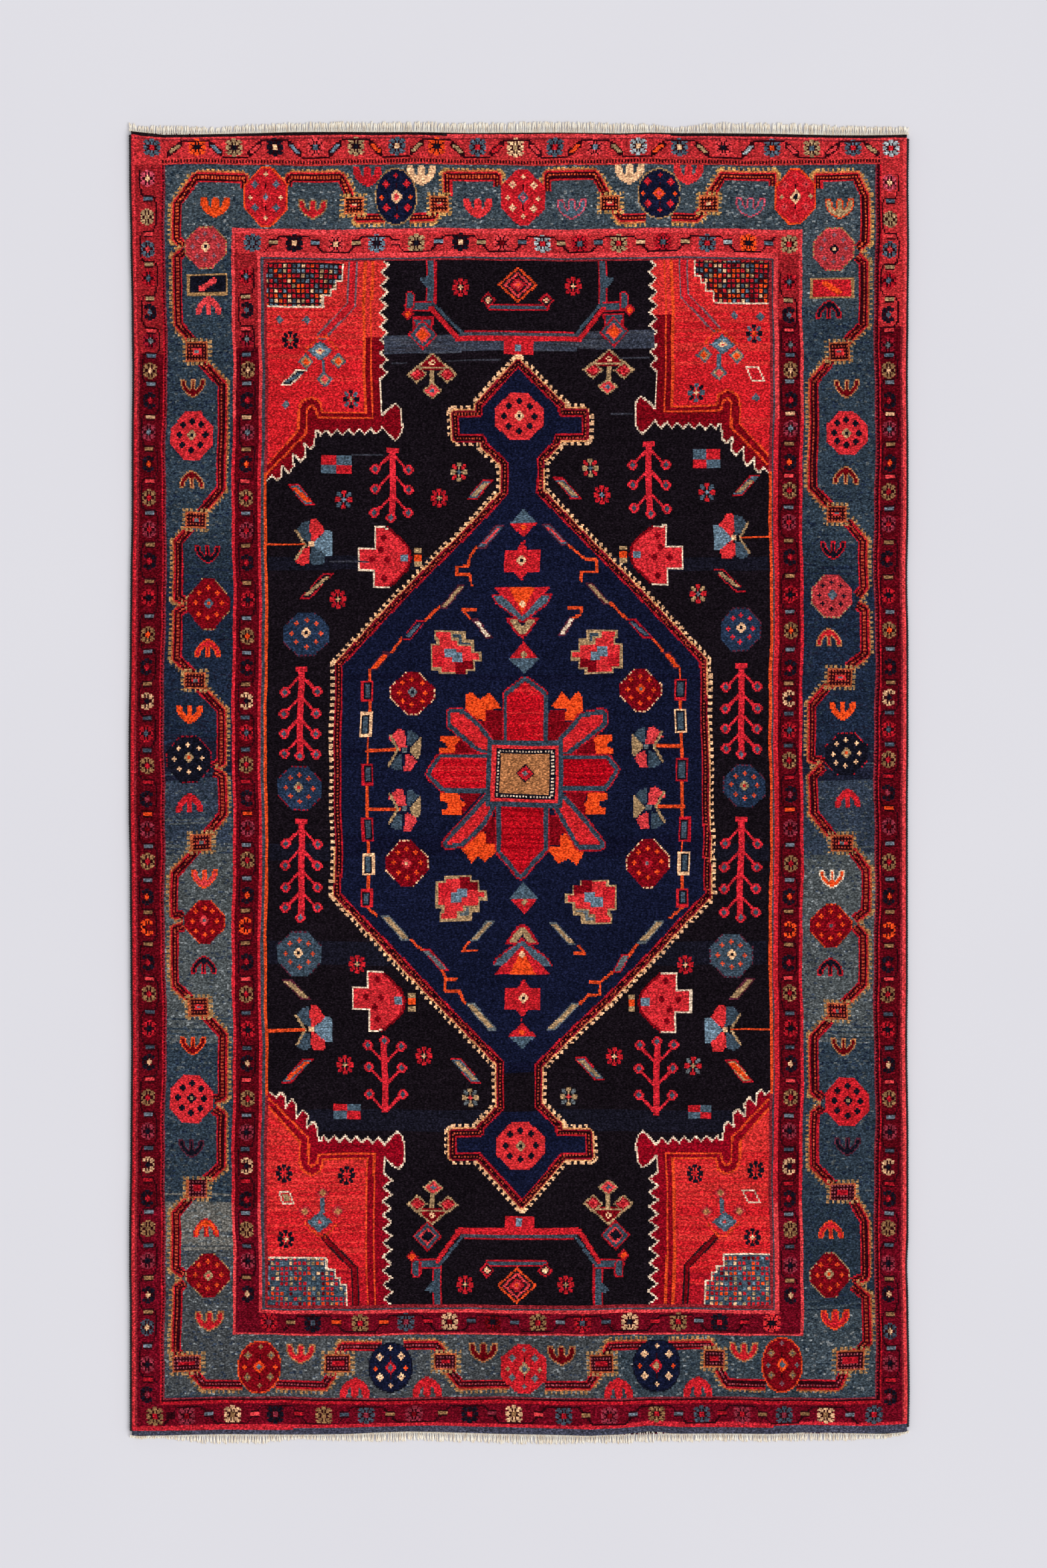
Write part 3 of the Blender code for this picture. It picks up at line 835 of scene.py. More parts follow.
# end guards: top and bottom of the winding line, flowers (x, petals, centre), dyes of the bars between them
END_GUARDS = (
    (1059, 1031, (
        (-603, "steel", "red"), (-532, "orange", "night"), (-470, "khaki", "night"),
        (-404, "night", "cream"), (-337, "coral", "steel"), (-269, "khaki", "night"),
        (-201, "steel", "cream"), (-135, "orange", "night"), (-67, "steel", "red"),
        (-5, "cream", "khaki"), (60, "steel", "red"), (125, "coral", "light_blue"),
        (195, "pale_grey", "cream"), (263, "steel", "cream"), (337, "coral", "night"),
        (415, "steel", "orange"), (482, "khaki", "steel"), (548, "steel", "red"),
        (612, "pale_grey", "red")),
     ("khaki", "light_blue", "coral", "light_blue", "light_blue", "orange", "khaki", "khaki", "red",
      "coral", "orange", "khaki", "orange", "khaki", "pale_grey", "coral", "coral", "khaki")),
    (902, 877, (
        (-439, "steel", "steel"), (-372, "night", "cream"), (-303, "coral", "cream"),
        (-236, "light_blue", "night"), (-170, "khaki", "night"), (-98, "night", "cream"),
        (-30, "coral", "dark_red"), (37, "pale_grey", "red"), (100, "crimson", "steel"),
        (165, "khaki", "red"), (238, "crimson", "steel"), (310, "steel", "red"), (378, "orange", "night"),
        (445, "khaki", "red")),
     ("khaki", "light_blue", "khaki", "coral", "light_blue", "khaki", "steel", "khaki", "steel", "cream",
      "khaki", "pale_grey", "steel")),
    (-877, -902, (
        (-413, "crimson", "pink"), (-340, "night", "steel"), (-264, "khaki", "crimson"),
        (-187, "steel", "pink"), (-115, "cream", "dark_red"), (-42, "dark_red", "night"),
        (32, "khaki", "crimson"), (105, "crimson", "steel"), (184, "cream", "night"),
        (264, "khaki", "crimson"), (330, "night", "crimson"), (415, "bright_red", "night")),
     ("khaki", "orange", "orange", "crimson", "steel", "steel", "light_blue", "steel", "crimson",
      "light_blue", "crimson")),
    (-1028, -1055, (
        (-600, "khaki", "crimson"), (-547, "pink", "dark_red"), (-472, "cream", "khaki"),
        (-400, "night", "pink"), (-322, "khaki", "khaki"), (-250, "steel", "pink"),
        (-172, "pink", "dark_red"), (-82, "night", "crimson"), (-10, "cream", "khaki"),
        (72, "steel", "crimson"), (147, "pink", "dark_red"), (226, "khaki", "crimson"),
        (300, "steel", "crimson"), (369, "pink", "crimson"), (438, "steel", "pink"),
        (507, "cream", "khaki"), (585, "steel", "crimson")),
     ("ring", "light_blue", "coral", "crimson", "steel", "khaki", "khaki", "pink", "coral", "khaki",
      "light_blue", "light_blue", "crimson", "khaki", "khaki", "light_blue")),
)
for high, low, flowers, bars in END_GUARDS:
    middle = (high + low) / 2
    for x0, petals, centre in flowers:
        in_guard(END_FLOWER, x0, middle, P=petals, C=centre, o="ring")
    halfway = [(here[0] + there[0]) / 2 for here, there in zip(flowers, flowers[1:])]
    points = []
    for number, x0 in enumerate(halfway):
        here, there = (low, high) if number % 2 == 0 else (high, low)
        points += [(x0 - 12, here), (x0 + 12, there)]
    line(points, 3.0, "ring")
    for number, (x0, dye) in enumerate(zip(halfway, bars)):
        rise = 5 * (-1) ** number            # which way a bar of the top guard slants
        if high > 1000:
            line([(x0 - 7, middle - rise * 1.3), (x0 + 7, middle + rise * 1.3)], 10, "ring")
            line([(x0 - 6, middle - rise * 1.1), (x0 + 6, middle + rise * 1.1)], 5.5, dye)
        else:
            in_guard(BAR, x0, middle, o="ring", B=dye)
print("flowers and bars in a side guard:", len(SIDE_FLOWERS), len(SIDE_BARS))

# %% [markdown]
# The field is near-black, with a red corner at each of its turns. One corner is drawn once and mirrored
# to the four places, with a small shift, because no two were knotted alike. Their reds change row by row,
# so some rows take a second red by chance.

# %% Corners of the field
# faint blue-black rows in the field
for bottom, top in ((-575, -538), (-300, -262), (-128, -100), (352, 372)):
    box(-413, bottom, 411, top, "field_blue")


def toothed(start, end, count, depth):
    """A run of teeth from start to end, bulging to the left of the way it goes."""
    start, end = np.asarray(start, float), np.asarray(end, float)
    way = (end - start) / np.hypot(*(end - start))
    across = np.array((-way[1], way[0])) * depth
    points = []
    for number in range(count):
        points += [start + (end - start) * number / count,
                   start + (end - start) * (number + 0.5) / count + across]
    return points + [end]


def knots_in(points):
    """The patch round a shape, the places of its knots, and which of them lie inside."""
    where, x, y = around(points, 0)
    return where, x, y, in_polygon(np.array(points), x, y)


# corners: side, end, shift of the drawing in x and y, the y below which the toothed band darkens
CORNERS = (
    (-1, 1, 2.0, -11.0, 736), (1, 1, 0.0, 0.0, 771), (-1, -1, -2.0, -1.0, None), (1, -1, 2.0, -3.0, None),
)


def corner(side, end, shift_x, shift_y, darken):
    """One red corner of the field: cream toothed edge, dark band, two orange lines, red ground."""
    def at(points):
        return [(side * (x + shift_x), end * (y + shift_y)) for x, y in points]

    straight = 678 if end > 0 else 645
    edge = toothed((226, 875), (226, straight), 9 if end > 0 else 10, -12 if end > 0 else -15)
    edge += [(225, 618), (214, 630), (201, 638), (193, 628), (192, 598), (196, 584), (204, 577), (214, 586),
             (225, 598), (235, 586)]
    edge += toothed((235, 586), (326, 582), 5, 10)
    edge += [(328, 590), (333, 590), (337, 566), (343, 559), (353, 569), (351, 548), (359, 539), (371, 552),
             (370, 532), (377, 520), (388, 534), (388, 517), (396, 509), (403, 518), (412, 510)]
    band = at(edge + [(418, 510), (418, 875)])
    fill(band, "spandrel_light" if end > 0 else "spandrel_low")
    if darken:
        where, _, y, inside = knots_in(band)
        lay(where, inside & (y < darken), "maroon")
    outer = [(240, 875), (241, 613), (331, 612), (334, 626), (341, 632), (348, 627), (350, 585), (416, 519)]
    inner = [(252, 875), (252, 621), (324, 621), (328, 640), (342, 646), (358, 638), (363, 620), (363, 591),
             (416, 533)]
    red = at(inner + [(424, 530), (424, 875)])
    fill(red, "spandrel_red")
    where, _, y, inside = knots_in(red)
    # rows of lighter and darker red, changing slowly along the rug
    share = (y[:, 0] - 640) / 190 if end > 0 else (y[:, 0] + 840) / 260
    paler = dice.random(len(y))[:, None] < np.clip(share, 0.04, 0.95 if side * end < 0 else 0.6)[:, None]
    lay(where, inside & paler, "spandrel_light")
    if end < 0:
        deeper = dice.random(len(y))[:, None] < np.clip((-y - 790) / 60, 0, 0.8)
        lay(where, inside & deeper, "crimson")
    line(at(outer), 3.4, "orange_line")
    line(at(inner), 3.4, "orange_line")
    line(at(edge), 2.7, "ivory")
    # the branch: a dull band with a redder middle
    for width, dye in ((15.5, "branch"), (10.0, "red")) if end > 0 else ((11.5, "soot"), (6.5, "maroon")):
        line(at([(273, 875), (273, 800), (322, 748)]), width, dye)


frames_drawn = chart.copy()
for row in CORNERS:
    corner(*row)
print("corners:", len(CORNERS))

# %% [markdown]
# In the very corners lie small checks in many dyes, two knots wide and two rows tall with a dark knot
# between. The dye of each square is drawn by lot, because on the rug they follow no order.

# %% Checks in the corners
CHECK_DYES = ("red", "red", "red", "dark_red", "crimson", "crimson", "light_blue", "steel", "blue_grey",
              "orange", "orange", "cream", "khaki", "khaki")
STEPS = ((31, 19), (18, 31), (9, 44))        # of the stepped edge: reach across and along


def checks(left, bottom, right, top):
    """Rows of little squares on dark lines, inside a cream stepped edge."""
    side = -1 if left < 0 else 1
    end = -1 if bottom < 0 else 1
    where, x, y = patch(left, bottom, right, top)
    inner = right if side < 0 else left
    deep = bottom if end > 0 else top
    mask = np.ones(x.shape, bool)
    for reach_x, reach_y in STEPS:
        mask &= (np.abs(x - inner) >= reach_x) | (np.abs(y - deep) >= reach_y)
    lay(where, mask, "soot" if end > 0 else "blue_grey")
    rank, column = np.indices(x.shape)
    picks = dice.integers(0, len(CHECK_DYES), (rank.max() // 3 + 1, column.max() // 3 + 1))
    codes = np.array([CODE[name] for name in CHECK_DYES])[picks[rank // 3, column // 3]]
    square_knots = mask & (column % 3 < 2) & (rank % 3 < 2)
    chart[where][square_knots] = codes[square_knots]
    points = [(left if side < 0 else right, deep)]
    for reach_x, reach_y in STEPS:
        points += [(inner + side * reach_x, points[-1][1]), (inner + side * reach_x, deep + end * reach_y)]
    points += [(inner, points[-1][1]), (inner, top if end > 0 else bottom)]
    line(points, 2.7, "ivory")


for row in ((-418, 784, -291, 857), (291, 791, 415, 860), (-418, -861, -286, -782), (306, -861, 420, -776)):
    checks(*row)
print("check dyes:", len(set(CHECK_DYES)))

# %% [markdown]
# Small blooms, slanted leaves and sprays of flowers fill the space between the large forms. The bloom is
# one chart used thirty times. A leaf is the same slanted shape a few times over, each smaller and in
# another dye.

# %% Small blooms, leaves and sprays
BLOOM = (
    "....PPP....",
    ".QQ.PPP.QQ.",
    ".QQQ.P.QQQ.",
    "..QQ.P.QQ..",
    "PPP..C..PPP",
    "PPPPCCCPPPP",
    "PPP..C..PPP",
    "..QQ.P.QQ..",
    ".QQQ.P.QQQ.",
    ".QQ.PPP.QQ.",
    "....PPP....",
)


def bloom(x0, y0, petals, between, centre):
    """A small eight-petalled bloom."""
    stamp(BLOOM, x0, y0, {"P": petals, "Q": between, "C": centre})


# small blooms: x, y, petals, between, centre
BLOOMS = (
    (-279, 630, "night", "steel", "khaki"), (291, 641, "steel", "night", "cream"),
    (-377, 727, "night", "night", "khaki"), (385, 740, "night", "steel", "orange"),
    (-284, -650, "night", "night", "red"), (-387, -643, "night", "night", "red"),
    (-383, -753, "night", "night", "cream"), (290, -645, "night", "night", "red"),
    (391, -637, "night", "night", "crimson"), (383, -749, "night", "night", "cream"),
    (-289, 465, "red", "steel", "light_blue"), (-133, 470, "red", "crimson", "khaki"),
    (-298, 300, "red", "crimson", "khaki"), (135, 473, "red", "crimson", "light_blue"),
    (311, 478, "red", "steel", "light_blue"), (293, 313, "red", "khaki", "grey"),
    (-288, -467, "red", "crimson", "khaki"), (-155, -450, "red", "crimson", "cream"),
    (-266, -299, "red", "crimson", "khaki"), (157, -452, "red", "crimson", "cream"),
    (285, -467, "red", "grey", "khaki"), (273, -300, "red", "crimson", "cream"),
    (-101, 513, "khaki", "red", "steel"), (118, 517, "khaki", "red", "steel"),
    (-79, -518, "khaki", "grey", "coral"), (82, -520, "khaki", "grey", "coral"),
    (-97, 815, "red", "crimson", "cream"), (89, 818, "red", "crimson", "cream"),
    (-88, -829, "red", "crimson", "khaki"), (78, -827, "red", "crimson", "khaki"),
)
for row in BLOOMS:
    bloom(*row)


def leaf(x0, y0, x1, y1, wide, *dyes):
    """A slanted leaf with upright ends, in nested dyes."""
    for ring, dye in enumerate(dyes):
        half = wide / 2 - ring * 3.2
        if half <= 0:
            break
        pull = ring * 3.6 * np.sign(x1 - x0)
        rise = ring * 3.0 * np.sign(y1 - y0)
        flat = 1.5 * half * np.sign(x1 - x0)
        fill([(x0 + pull, y0 + rise), (x0 + pull + flat, y0 + rise),
              (x1 - pull, y1 - rise), (x1 - pull - flat, y1 - rise)], dye)


# leaves: from x, y to x, y, width, dyes from the edge in
LEAVES = (
    (-89, 466, -43, 501, 24, "crimson", "steel", "khaki"),
    (103, 466, 54, 502, 24, "crimson", "steel", "khaki"),
    (-380, 492, -334, 456, 24, "crimson", "steel", "orange"),
    (350, 472, 398, 505, 24, "crimson", "steel", "khaki"),
    (-364, 303, -303, 346, 24, "crimson", "night", "khaki"),
    (373, 316, 316, 355, 24, "crimson", "night", "khaki"),
    (-391, -325, -341, -359, 22, "mauve", "khaki", "khaki"),
    (343, -358, 390, -323, 22, "mauve", "khaki", "khaki"),
    (-394, -494, -338, -454, 24, "crimson", "steel", "orange"),
    (337, -455, 385, -494, 24, "crimson", "khaki", "orange"),
    (-112, -453, -60, -494, 24, "crimson", "steel", "khaki"),
    (92, -453, 144, -492, 24, "crimson", "steel", "khaki"),
    (-397, 652, -350, 680, 24, "ivory", "night", "steel"),
    (405, 661, 371, 686, 30, "ivory", "red", "red"), (367, -669, 400, -692, 30, "ivory", "red", "red"),
    (-396, -671, -369, -695, 26, "ivory", "red", "khaki"),
)
for row in LEAVES:
    leaf(*row)

# two-by-two checks: x, y, wide, tall, first dye red
for x0, y0, wide, tall, first in ((-302, 523, 50, 30, True), (309, 535, 46, 30, False),
                                  (-284, -542, 44, 26, True), (299, -541, 38, 24, True)):
    for dx in (-1, 1):
        for dy in (-1, 1):
            dye = "red" if ((dx * dy < 0) == first) else "steel"
            block(x0, y0, x0 + dx * wide / 2, y0 + dy * tall / 2, dye)


def posy(x0, y0, side, end):
    """The spray on a branch of a red corner: a large bloom with three small ones round it."""
    stalk = moved(((-27, 4), (-10, 24), (3, 22), (25, 0)), x0, y0, side, end)
    line(stalk, 4.0, "orange_line", dash=6, share=0.7)
    for dx, dy, centre in ((-30, -17, "orange"), (24, -18, "orange"), (-6, -47, "coral")):
        bloom_dyes = ("steel", "khaki", centre) if end > 0 else ("crimson", "rosette_coral", "tan")
        lozenge(x0 + side * dx, y0 + end * dy, 27, 27, *bloom_dyes, step=3.5)
    heart = ("light_blue", "light_blue", "cream") if end > 0 else ("steel", "light_blue", "grey")
    lozenge(x0, y0, 42, 34, "steel", *heart, "coral", step=3.6)
    line(moved(((-5, -18), (-5, -36)), x0, y0, side, end), 7, "steel")


for row in ((-327, 712, -1, 1), (334, 721, 1, 1), (-328, -722, -1, -1), (338, -722, 1, -1)):
    posy(*row)
for x0, y0 in ((-394, 763), (-349, 763), (354, 770), (397, 768), (-385, 622), (389, 634)):
    lozenge(x0, y0, 15, 15, "steel", "grey")
print("blooms:", len(BLOOMS), "leaves:", len(LEAVES))

# %% [markdown]
# Eight red trees with ring flowers stand along the field, between six blue rosettes. The rosettes reuse
# the round flower of the border.

# %% Trees and blue rosettes
RING = (
    "..###..",
    ".##o##.",
    "##ooo##",
    "##ooo##",
    ".##o##.",
    "..###..",
)


BRANCH_REACH = 27


def tree(x0, head, foot, flowers):
    """A red tree: trunk, bar at the head, ring flowers on slanted branches; grows from head to foot."""
    way = 1 if head > foot else -1
    block(x0 - 5, head, x0 + 5, foot, "tree_red")
    if way > 0:
        box(x0 - 10, head - 4, x0 + 10, head + 4, "tree_red")
    for y0 in flowers:
        for side in (-1, 1):
            line([(x0, y0 + way * 29), (x0 + side * (BRANCH_REACH - 3), y0 + way * 3)], 4.2, "tree_red")
            stamp(RING, x0 + side * BRANCH_REACH, y0, {"#": "tree_red", "o": "blue_grey"})
    stamp(RING, x0, foot, {"#": "tree_red", "o": "steel"})


TREES = (
    (-210, 550, 436, (515, 482, 445)), (215, 560, 443, (525, 490, 452)),
    (-221, -545, -425, (-514, -470, -434)), (226, -547, -427, (-514, -471, -433)),
    (-360, 190, 46, (150, 115, 80, 48)), (367, 195, 47, (157, 122, 88, 56)),
    (-360, -64, -223, (-103, -138, -173, -208)), (365, -60, -224, (-101, -140, -178, -215)),
)
for row in TREES:
    tree(*row)

# blue rosettes of the field: x, y, wide, tall, ground, outline, dots, eye, heart
for row in ((-352, 246, 76, 72, "dark_blue", "mauve", "ember", "cream", "night"),
            (-361, -8, 74, 74, "dark_blue", "red_line", "ember", "khaki", "red"),
            (-361, -283, 74, 74, "blue_grey", "mauve", "ember", "cream", "night"),
            (364, 254, 66, 72, "dark_blue", "mauve", "tree_red", "cream", "night"),
            (370, -5, 70, 72, "dark_blue", "mauve", "ember", "khaki", "red"),
            (351, -285, 72, 72, "blue_grey", "mauve", "ember", "cream", "night")):
    rosette(*row)
print("trees:", len(TREES))

# %% [markdown]
# Jugs, fans and roofed flowers each stand four times round the medallion, facing it. They are polygons,
# so a mirrored copy needs only two signs.


# %% Jugs, fans and roofed flowers
def jug(x0, y0, side, end):
    """A coral jug lying on its side: stepped cream edge outside, slanted inside, spout boxes."""
    body = moved(((-4, 50), (-22, 35), (-38, 18), (-42, 0), (-36, -18), (-20, -34), (-5, -48), (20, -48),
                  (20, -20), (44, -20), (44, 16), (17, 16), (17, 51)), x0, y0, side, end)
    fill(body, "jug_red")
    line(body[:7], 4.0, "maroon")
    line(body[6:] + body[:1], 2.8, "ivory")
    for x, y in moved(((3, 33), (-3, -3), (24, -4), (2, -34), (8, 14)), x0, y0, side, end):
        stamp(DOT, x, y, {"#": "maroon"})
    block(x0 - side * 24, y0 - 6, x0 - side * 38, y0 + 7, "light_blue")
    for low, high, dye in ((-13, -5, "khaki"), (-4, 7, "orange"), (8, 16, "khaki")):
        block(x0 - side * 48, y0 + end * low, x0 - side * 59, y0 + end * high, dye)


for row in ((-219, 370, -1, 1), (224, 375, 1, 1), (-229, -358, -1, -1), (238, -360, 1, -1)):
    jug(*row)


def fan(x0, y0, side, stem, low_inner, low_outer):
    """A fan flower: lobes of several dyes round a small square, forked arms and a stem on one side."""
    lobes = ((((-1, 0), (3, 26), (0, 40), (-10, 40), (-24, 22)), "bright_red"),
             (((0, 4), (3, 38), (14, 36), (24, 24), (16, 10)), "blue_grey"),
             (((-1, 0), (3, -24), (-4, -34), (-20, -34), (-24, -20)), low_inner),
             (((2, -4), (3, -30), (14, -34), (25, -28), (20, -10)), low_outer),
             (((-2, 0), (-24, 22), (-34, 20), (-34, -20), (-24, -20)), "light_blue"))
    for points, dye in lobes:
        fill(moved(points, x0, y0, side), dye)
    line(moved(((25, 24), (10, 0), (25, -24)), x0, y0, side), 4.0, "khaki")
    line([(x0 + side * 12, y0), (stem, y0)], 3.6, "orange_line")
    box(x0 - 4, y0 - 4, x0 + 4, y0 + 4, "cream")


# fans: x, y, side of the stem, its end, dyes of the two lower lobes
for row in ((-342, 393, -1, -413, "blue_grey", "bright_red"), (353, 404, 1, 412, "bright_red", "blue_grey"),
            (-342, -408, -1, -413, "bright_red", "blue_grey"),
            (338, -407, 1, 412, "bright_red", "blue_grey")):
    fan(*row)


def roofed(x0, y0, end):
    """A flower with a roof and a stem, from the apex of the roof."""
    roof = ((0, 2), (38, -34), (24, -48), (14, -38), (22, -28), (-20, -28), (-14, -38), (-24, -48),
            (-38, -34))
    fill(moved(roof, x0, y0, 1, end), "maroon")
    line(moved(((-22, -24), (22, -24)), x0, y0, 1, end), 2.9, "khaki")
    for side in (-1, 1):
        lozenge(x0 + side * 25, y0 - end * 34, 34, 30, "khaki", "maroon", "coral", "crimson", step=3.4)
    for side in (1, -1):
        line(moved(((0, 0), (38, -34)), x0, y0, side, end), 3.0, "khaki")
    lozenge(x0, y0 - end * 15, 12, 12, "cream", "maroon")
    block(x0 - 4, y0 - end * 26, x0 + 4, y0 - end * 50, "khaki")
    lozenge(x0, y0 - end * 61, 34, 28, "khaki", "coral", "coral", "steel", step=3.2)


for row in ((-142, 708, 1), (147, 716, 1), (-142, -729, -1), (146, -728, -1)):
    roofed(*row)
print("four jugs, four fans, four roofed flowers")

# %% [markdown]
# Between two red corners is a black panel: two posts with hooks, a bar with a tab, and a diamond. Some
# rows of the upper one are brown, where the black wool has faded.

# %% Panels between the corners
for left, low, right, high in ((-222, 709, -95, 738), (-95, 711, 95, 727), (95, 718, 222, 746)):
    box(left, low, right, high, "abrash")
    for row in np.arange(low, high, ROW):
        start = dice.uniform(left - 60, right)
        faded = "panel_band" if dice.random() < 0.7 else "streak"
        box(max(left, start), row, min(right, start + 70), row + ROW, faded)


def panel(end, hook, left_post, right_post, bar, tab, inner, diamond_at):
    """The black panel between two corners: posts with hooks, a bar with a tab, a diamond in the middle."""
    def ribbon(points, wide=11.0):
        line(points, wide + 5.5, "crimson")
        line(points, wide, "blue_grey")

    for post, side in ((left_post, -1), (right_post, 1)):
        ribbon([(post, end * 858), (post, end * hook)])
        ribbon([(post, end * hook), (post + side * 34, end * hook)])
        ribbon([(post + side * 34, end * hook), (post + side * 34, end * (hook + 16))], 10)
        fill([(post + side * 5, end * (hook + 48)), (post + side * 20, end * (hook + 44)),
              (post + side * 5, end * (hook + 28))], "blue_grey")
        line([(post, end * (hook - 4)), (side * 97, end * bar)], 7.5, "red")
        line([(post - side * 3, end * (hook + 4)), (side * 91, end * (bar + 8))], 5.0, "blue_grey")
    line([(-99, end * bar), (97, end * bar)], 8.5, "red")
    line([(-92, end * (bar + 7.5)), (92, end * (bar + 7.5))], 5.5, "panel_band")
    line([(-88, end * (bar + 12)), (88, end * (bar + 12))], 2.6, "crimson")
    block(-25, end * tab, 23, end * bar, "red")
    block(-6, end * (tab + 4), 5, end * (tab + 17), "light_blue")
    ribbon([(-50, end * inner), (44, end * inner)], 5.0)
    for x0 in (-52, 44):
        lozenge(x0, end * (inner + 11), 26, 26, "crimson", "soot", "cream", "coral", step=3.6)
    lozenge(-3, diamond_at, 66, 60, "orange_line", "soot", "coral", "soot", "crimson", "coral", "orange",
            step=4.4)


panel(1, 787, -146, 137, 731, 706, 784, 821)
panel(-1, 793, -134, 131, 738, 713, 791, -827)
# bottle flowers under the hooks: x, y, which way the neck points
for x0, y0, end in ((-157, 739, 1), (155, 745, 1), (-150, -748, -1), (157, -746, -1)):
    if end > 0:
        fill(moved(((-17, 29), (17, 29), (15, 10), (-15, 10)), x0, y0), "blue_grey", "crimson")
    heart = "orange" if end > 0 else "night"
    lozenge(x0, y0, 50, 50, "crimson", "blue_grey", "blue_grey", "coral", heart, step=3.6)
for x0, y0 in ((-182, 773), (181, 780), (-175, -781), (171, -779)):
    lozenge(x0, y0, 20, 20, "crimson", "orange", step=4.0)

# the frames again, over what reached past the field
within, _, _ = patch(-415.2, -861.0, 412.6, 859.5)
frames_drawn[within] = chart[within]
chart = frames_drawn
print("knots of the field:", chart[within].size)

# %% [markdown]
# The medallion is one long outline of straight runs. The depth of each knot behind that outline gives its
# coloured lines and the beads and teeth on them, so they turn every corner by themselves.

# %% Outline of the medallion
MEDALLION_LEFT = (
    (0, 692), (-66, 622), (-66, 609), (-106, 609), (-106, 568), (-62, 568), (-58, 556), (-26, 526),
    (-26, 478), (-298, 197), (-298, -100), (-301, -184), (-30, -462), (-30, -532), (-65, -566),
    (-65, -575), (-111, -575), (-111, -615), (-68, -615), (3, -694),
)
MEDALLION_RIGHT = (
    (0, 692), (72, 620), (72, 611), (110, 611), (110, 569), (66, 569), (62, 557), (35, 530), (34, 478),
    (305, 203), (307, -60), (313, -186), (33, -468), (33, -532), (67, -566), (67, -577), (116, -577),
    (116, -616), (73, -616), (3, -694),
)
outline = np.array(MEDALLION_LEFT + MEDALLION_RIGHT[::-1][1:-1], float)
fill(outline, "navy")
where, x, y = around(outline, 24)
side, run = along(np.vstack([outline, outline[:1]]), x, y)
inside = in_polygon(outline, x, y)
depth = np.where(inside, np.abs(side), -np.abs(side))
lay(where, (depth > -13.2) & (depth <= -6.3) & (run % 11.2 < 4.2), "cream")
lay(where, (depth > -13.2) & (depth <= -9.6) & (run % 11.2 < 6.0), "cream")
for low, high, dye in ((-7.6, -5.2, "comb_foot"), (-5.4, -2.8, "red_line"), (-2.8, 4.0, "beading"),
                       (4.0, 6.8, "crimson")):
    lay(where, (depth > low) & (depth <= high), dye)
lay(where, (np.abs(depth - 0.4) < 1.4) & (run % 5.2 < 2.7), "bead")

# some rows of the medallion are blue-black
where, x, y = patch(-292, -690, 300, 690)
navy = chart[where] == CODE["navy"]
for bottom, top in ((-540, -462), (-120, -88), (172, 180), (44, 56)):
    lay(where, navy & (y > bottom) & (y < top), "navy_low")
lay(where, navy & (y > -540) & (y < -478), "field_black")

for y0, eye in ((602, "cream"), (-597, "khaki")):
    rosette(1, y0, 80, 78, "bright_red", "bright_red", "night", eye, "night", spread=0.62)
print("length of the outline:", round(run.max() / 1000, 2), "m")

# %% [markdown]
# Up the middle of the medallion runs a dashed line with diamonds, boxes and palmettes on it.

# %% Pieces on the middle line
for x0, top, bottom, wide in ((7, 398, 335, 4), (7, 252, 180, 3), (5, -328, -392, 4)):
    line([(x0, top), (x0, bottom)], wide, "crimson", dash=5.6)


def split_lozenge(x0, y0, wide, tall, upper, lower, heart):
    """A diamond in two halves, with a small diamond in it."""
    where, x, y = patch(x0 - wide, y0 - tall, x0 + wide, y0 + tall)
    mask = np.abs(x - x0) / (wide / 2) + np.abs(y - y0) / (tall / 2) <= 1
    lay(where, mask & (y >= y0), upper)
    lay(where, mask & (y < y0), lower)
    lozenge(x0, y0 + (6 if upper == "red" else -6), 12, 12, heart)


for row in ((6, 428, 46, 46, "steel", "red", "orange"), (6, -418, 46, 42, "red", "steel", "orange"),
            (9, 206, 50, 52, "red", "steel", "khaki"), (8, -191, 48, 54, "steel", "red", "khaki")):
    split_lozenge(*row)
for x0, y0 in ((4, 365), (6, -357)):
    for points in (((-29, -18), (29, -18), (29, 18), (-29, 18)), ((-10, 18), (0, 34), (10, 18)),
                   ((-10, -18), (0, -30), (10, -18))):
        fill(moved(points, x0, y0), "red")
    stamp(STAR, x0, y0, {"o": "cream", "#": "night"})


def palmette(x0, y0, end):
    """An open triangle: orange in red, a grey wing under it, khaki tips."""
    for points, *dyes in ((((-27, 0), (27, 0), (9, -27), (0, -32), (-9, -27)), "khaki", "crimson"),
                          (((-11, 0), (11, 0), (0, -16)), "navy"),
                          (((-50, 38), (-44, 24), (0, -10), (44, 24), (50, 38)), "crimson"),
                          (((-47, 36), (-42, 26), (0, -6), (42, 26), (47, 36)), "steel"),
                          (((-47, 51), (47, 51), (0, 3)), "red"), (((-22, 51), (22, 51), (0, 8)), "orange")):
        fill(moved(points, x0, y0, 1, end), *dyes)
    stamp(DOT, x0, y0 + end * 20, {"#": "cream"})


palmette(6, 273, 1)
palmette(4, -266, -1)

# %% [markdown]
# Two chains hang beside the middle line, each of links, leaves and thin orange lines between them, with a
# round flower at the turns.

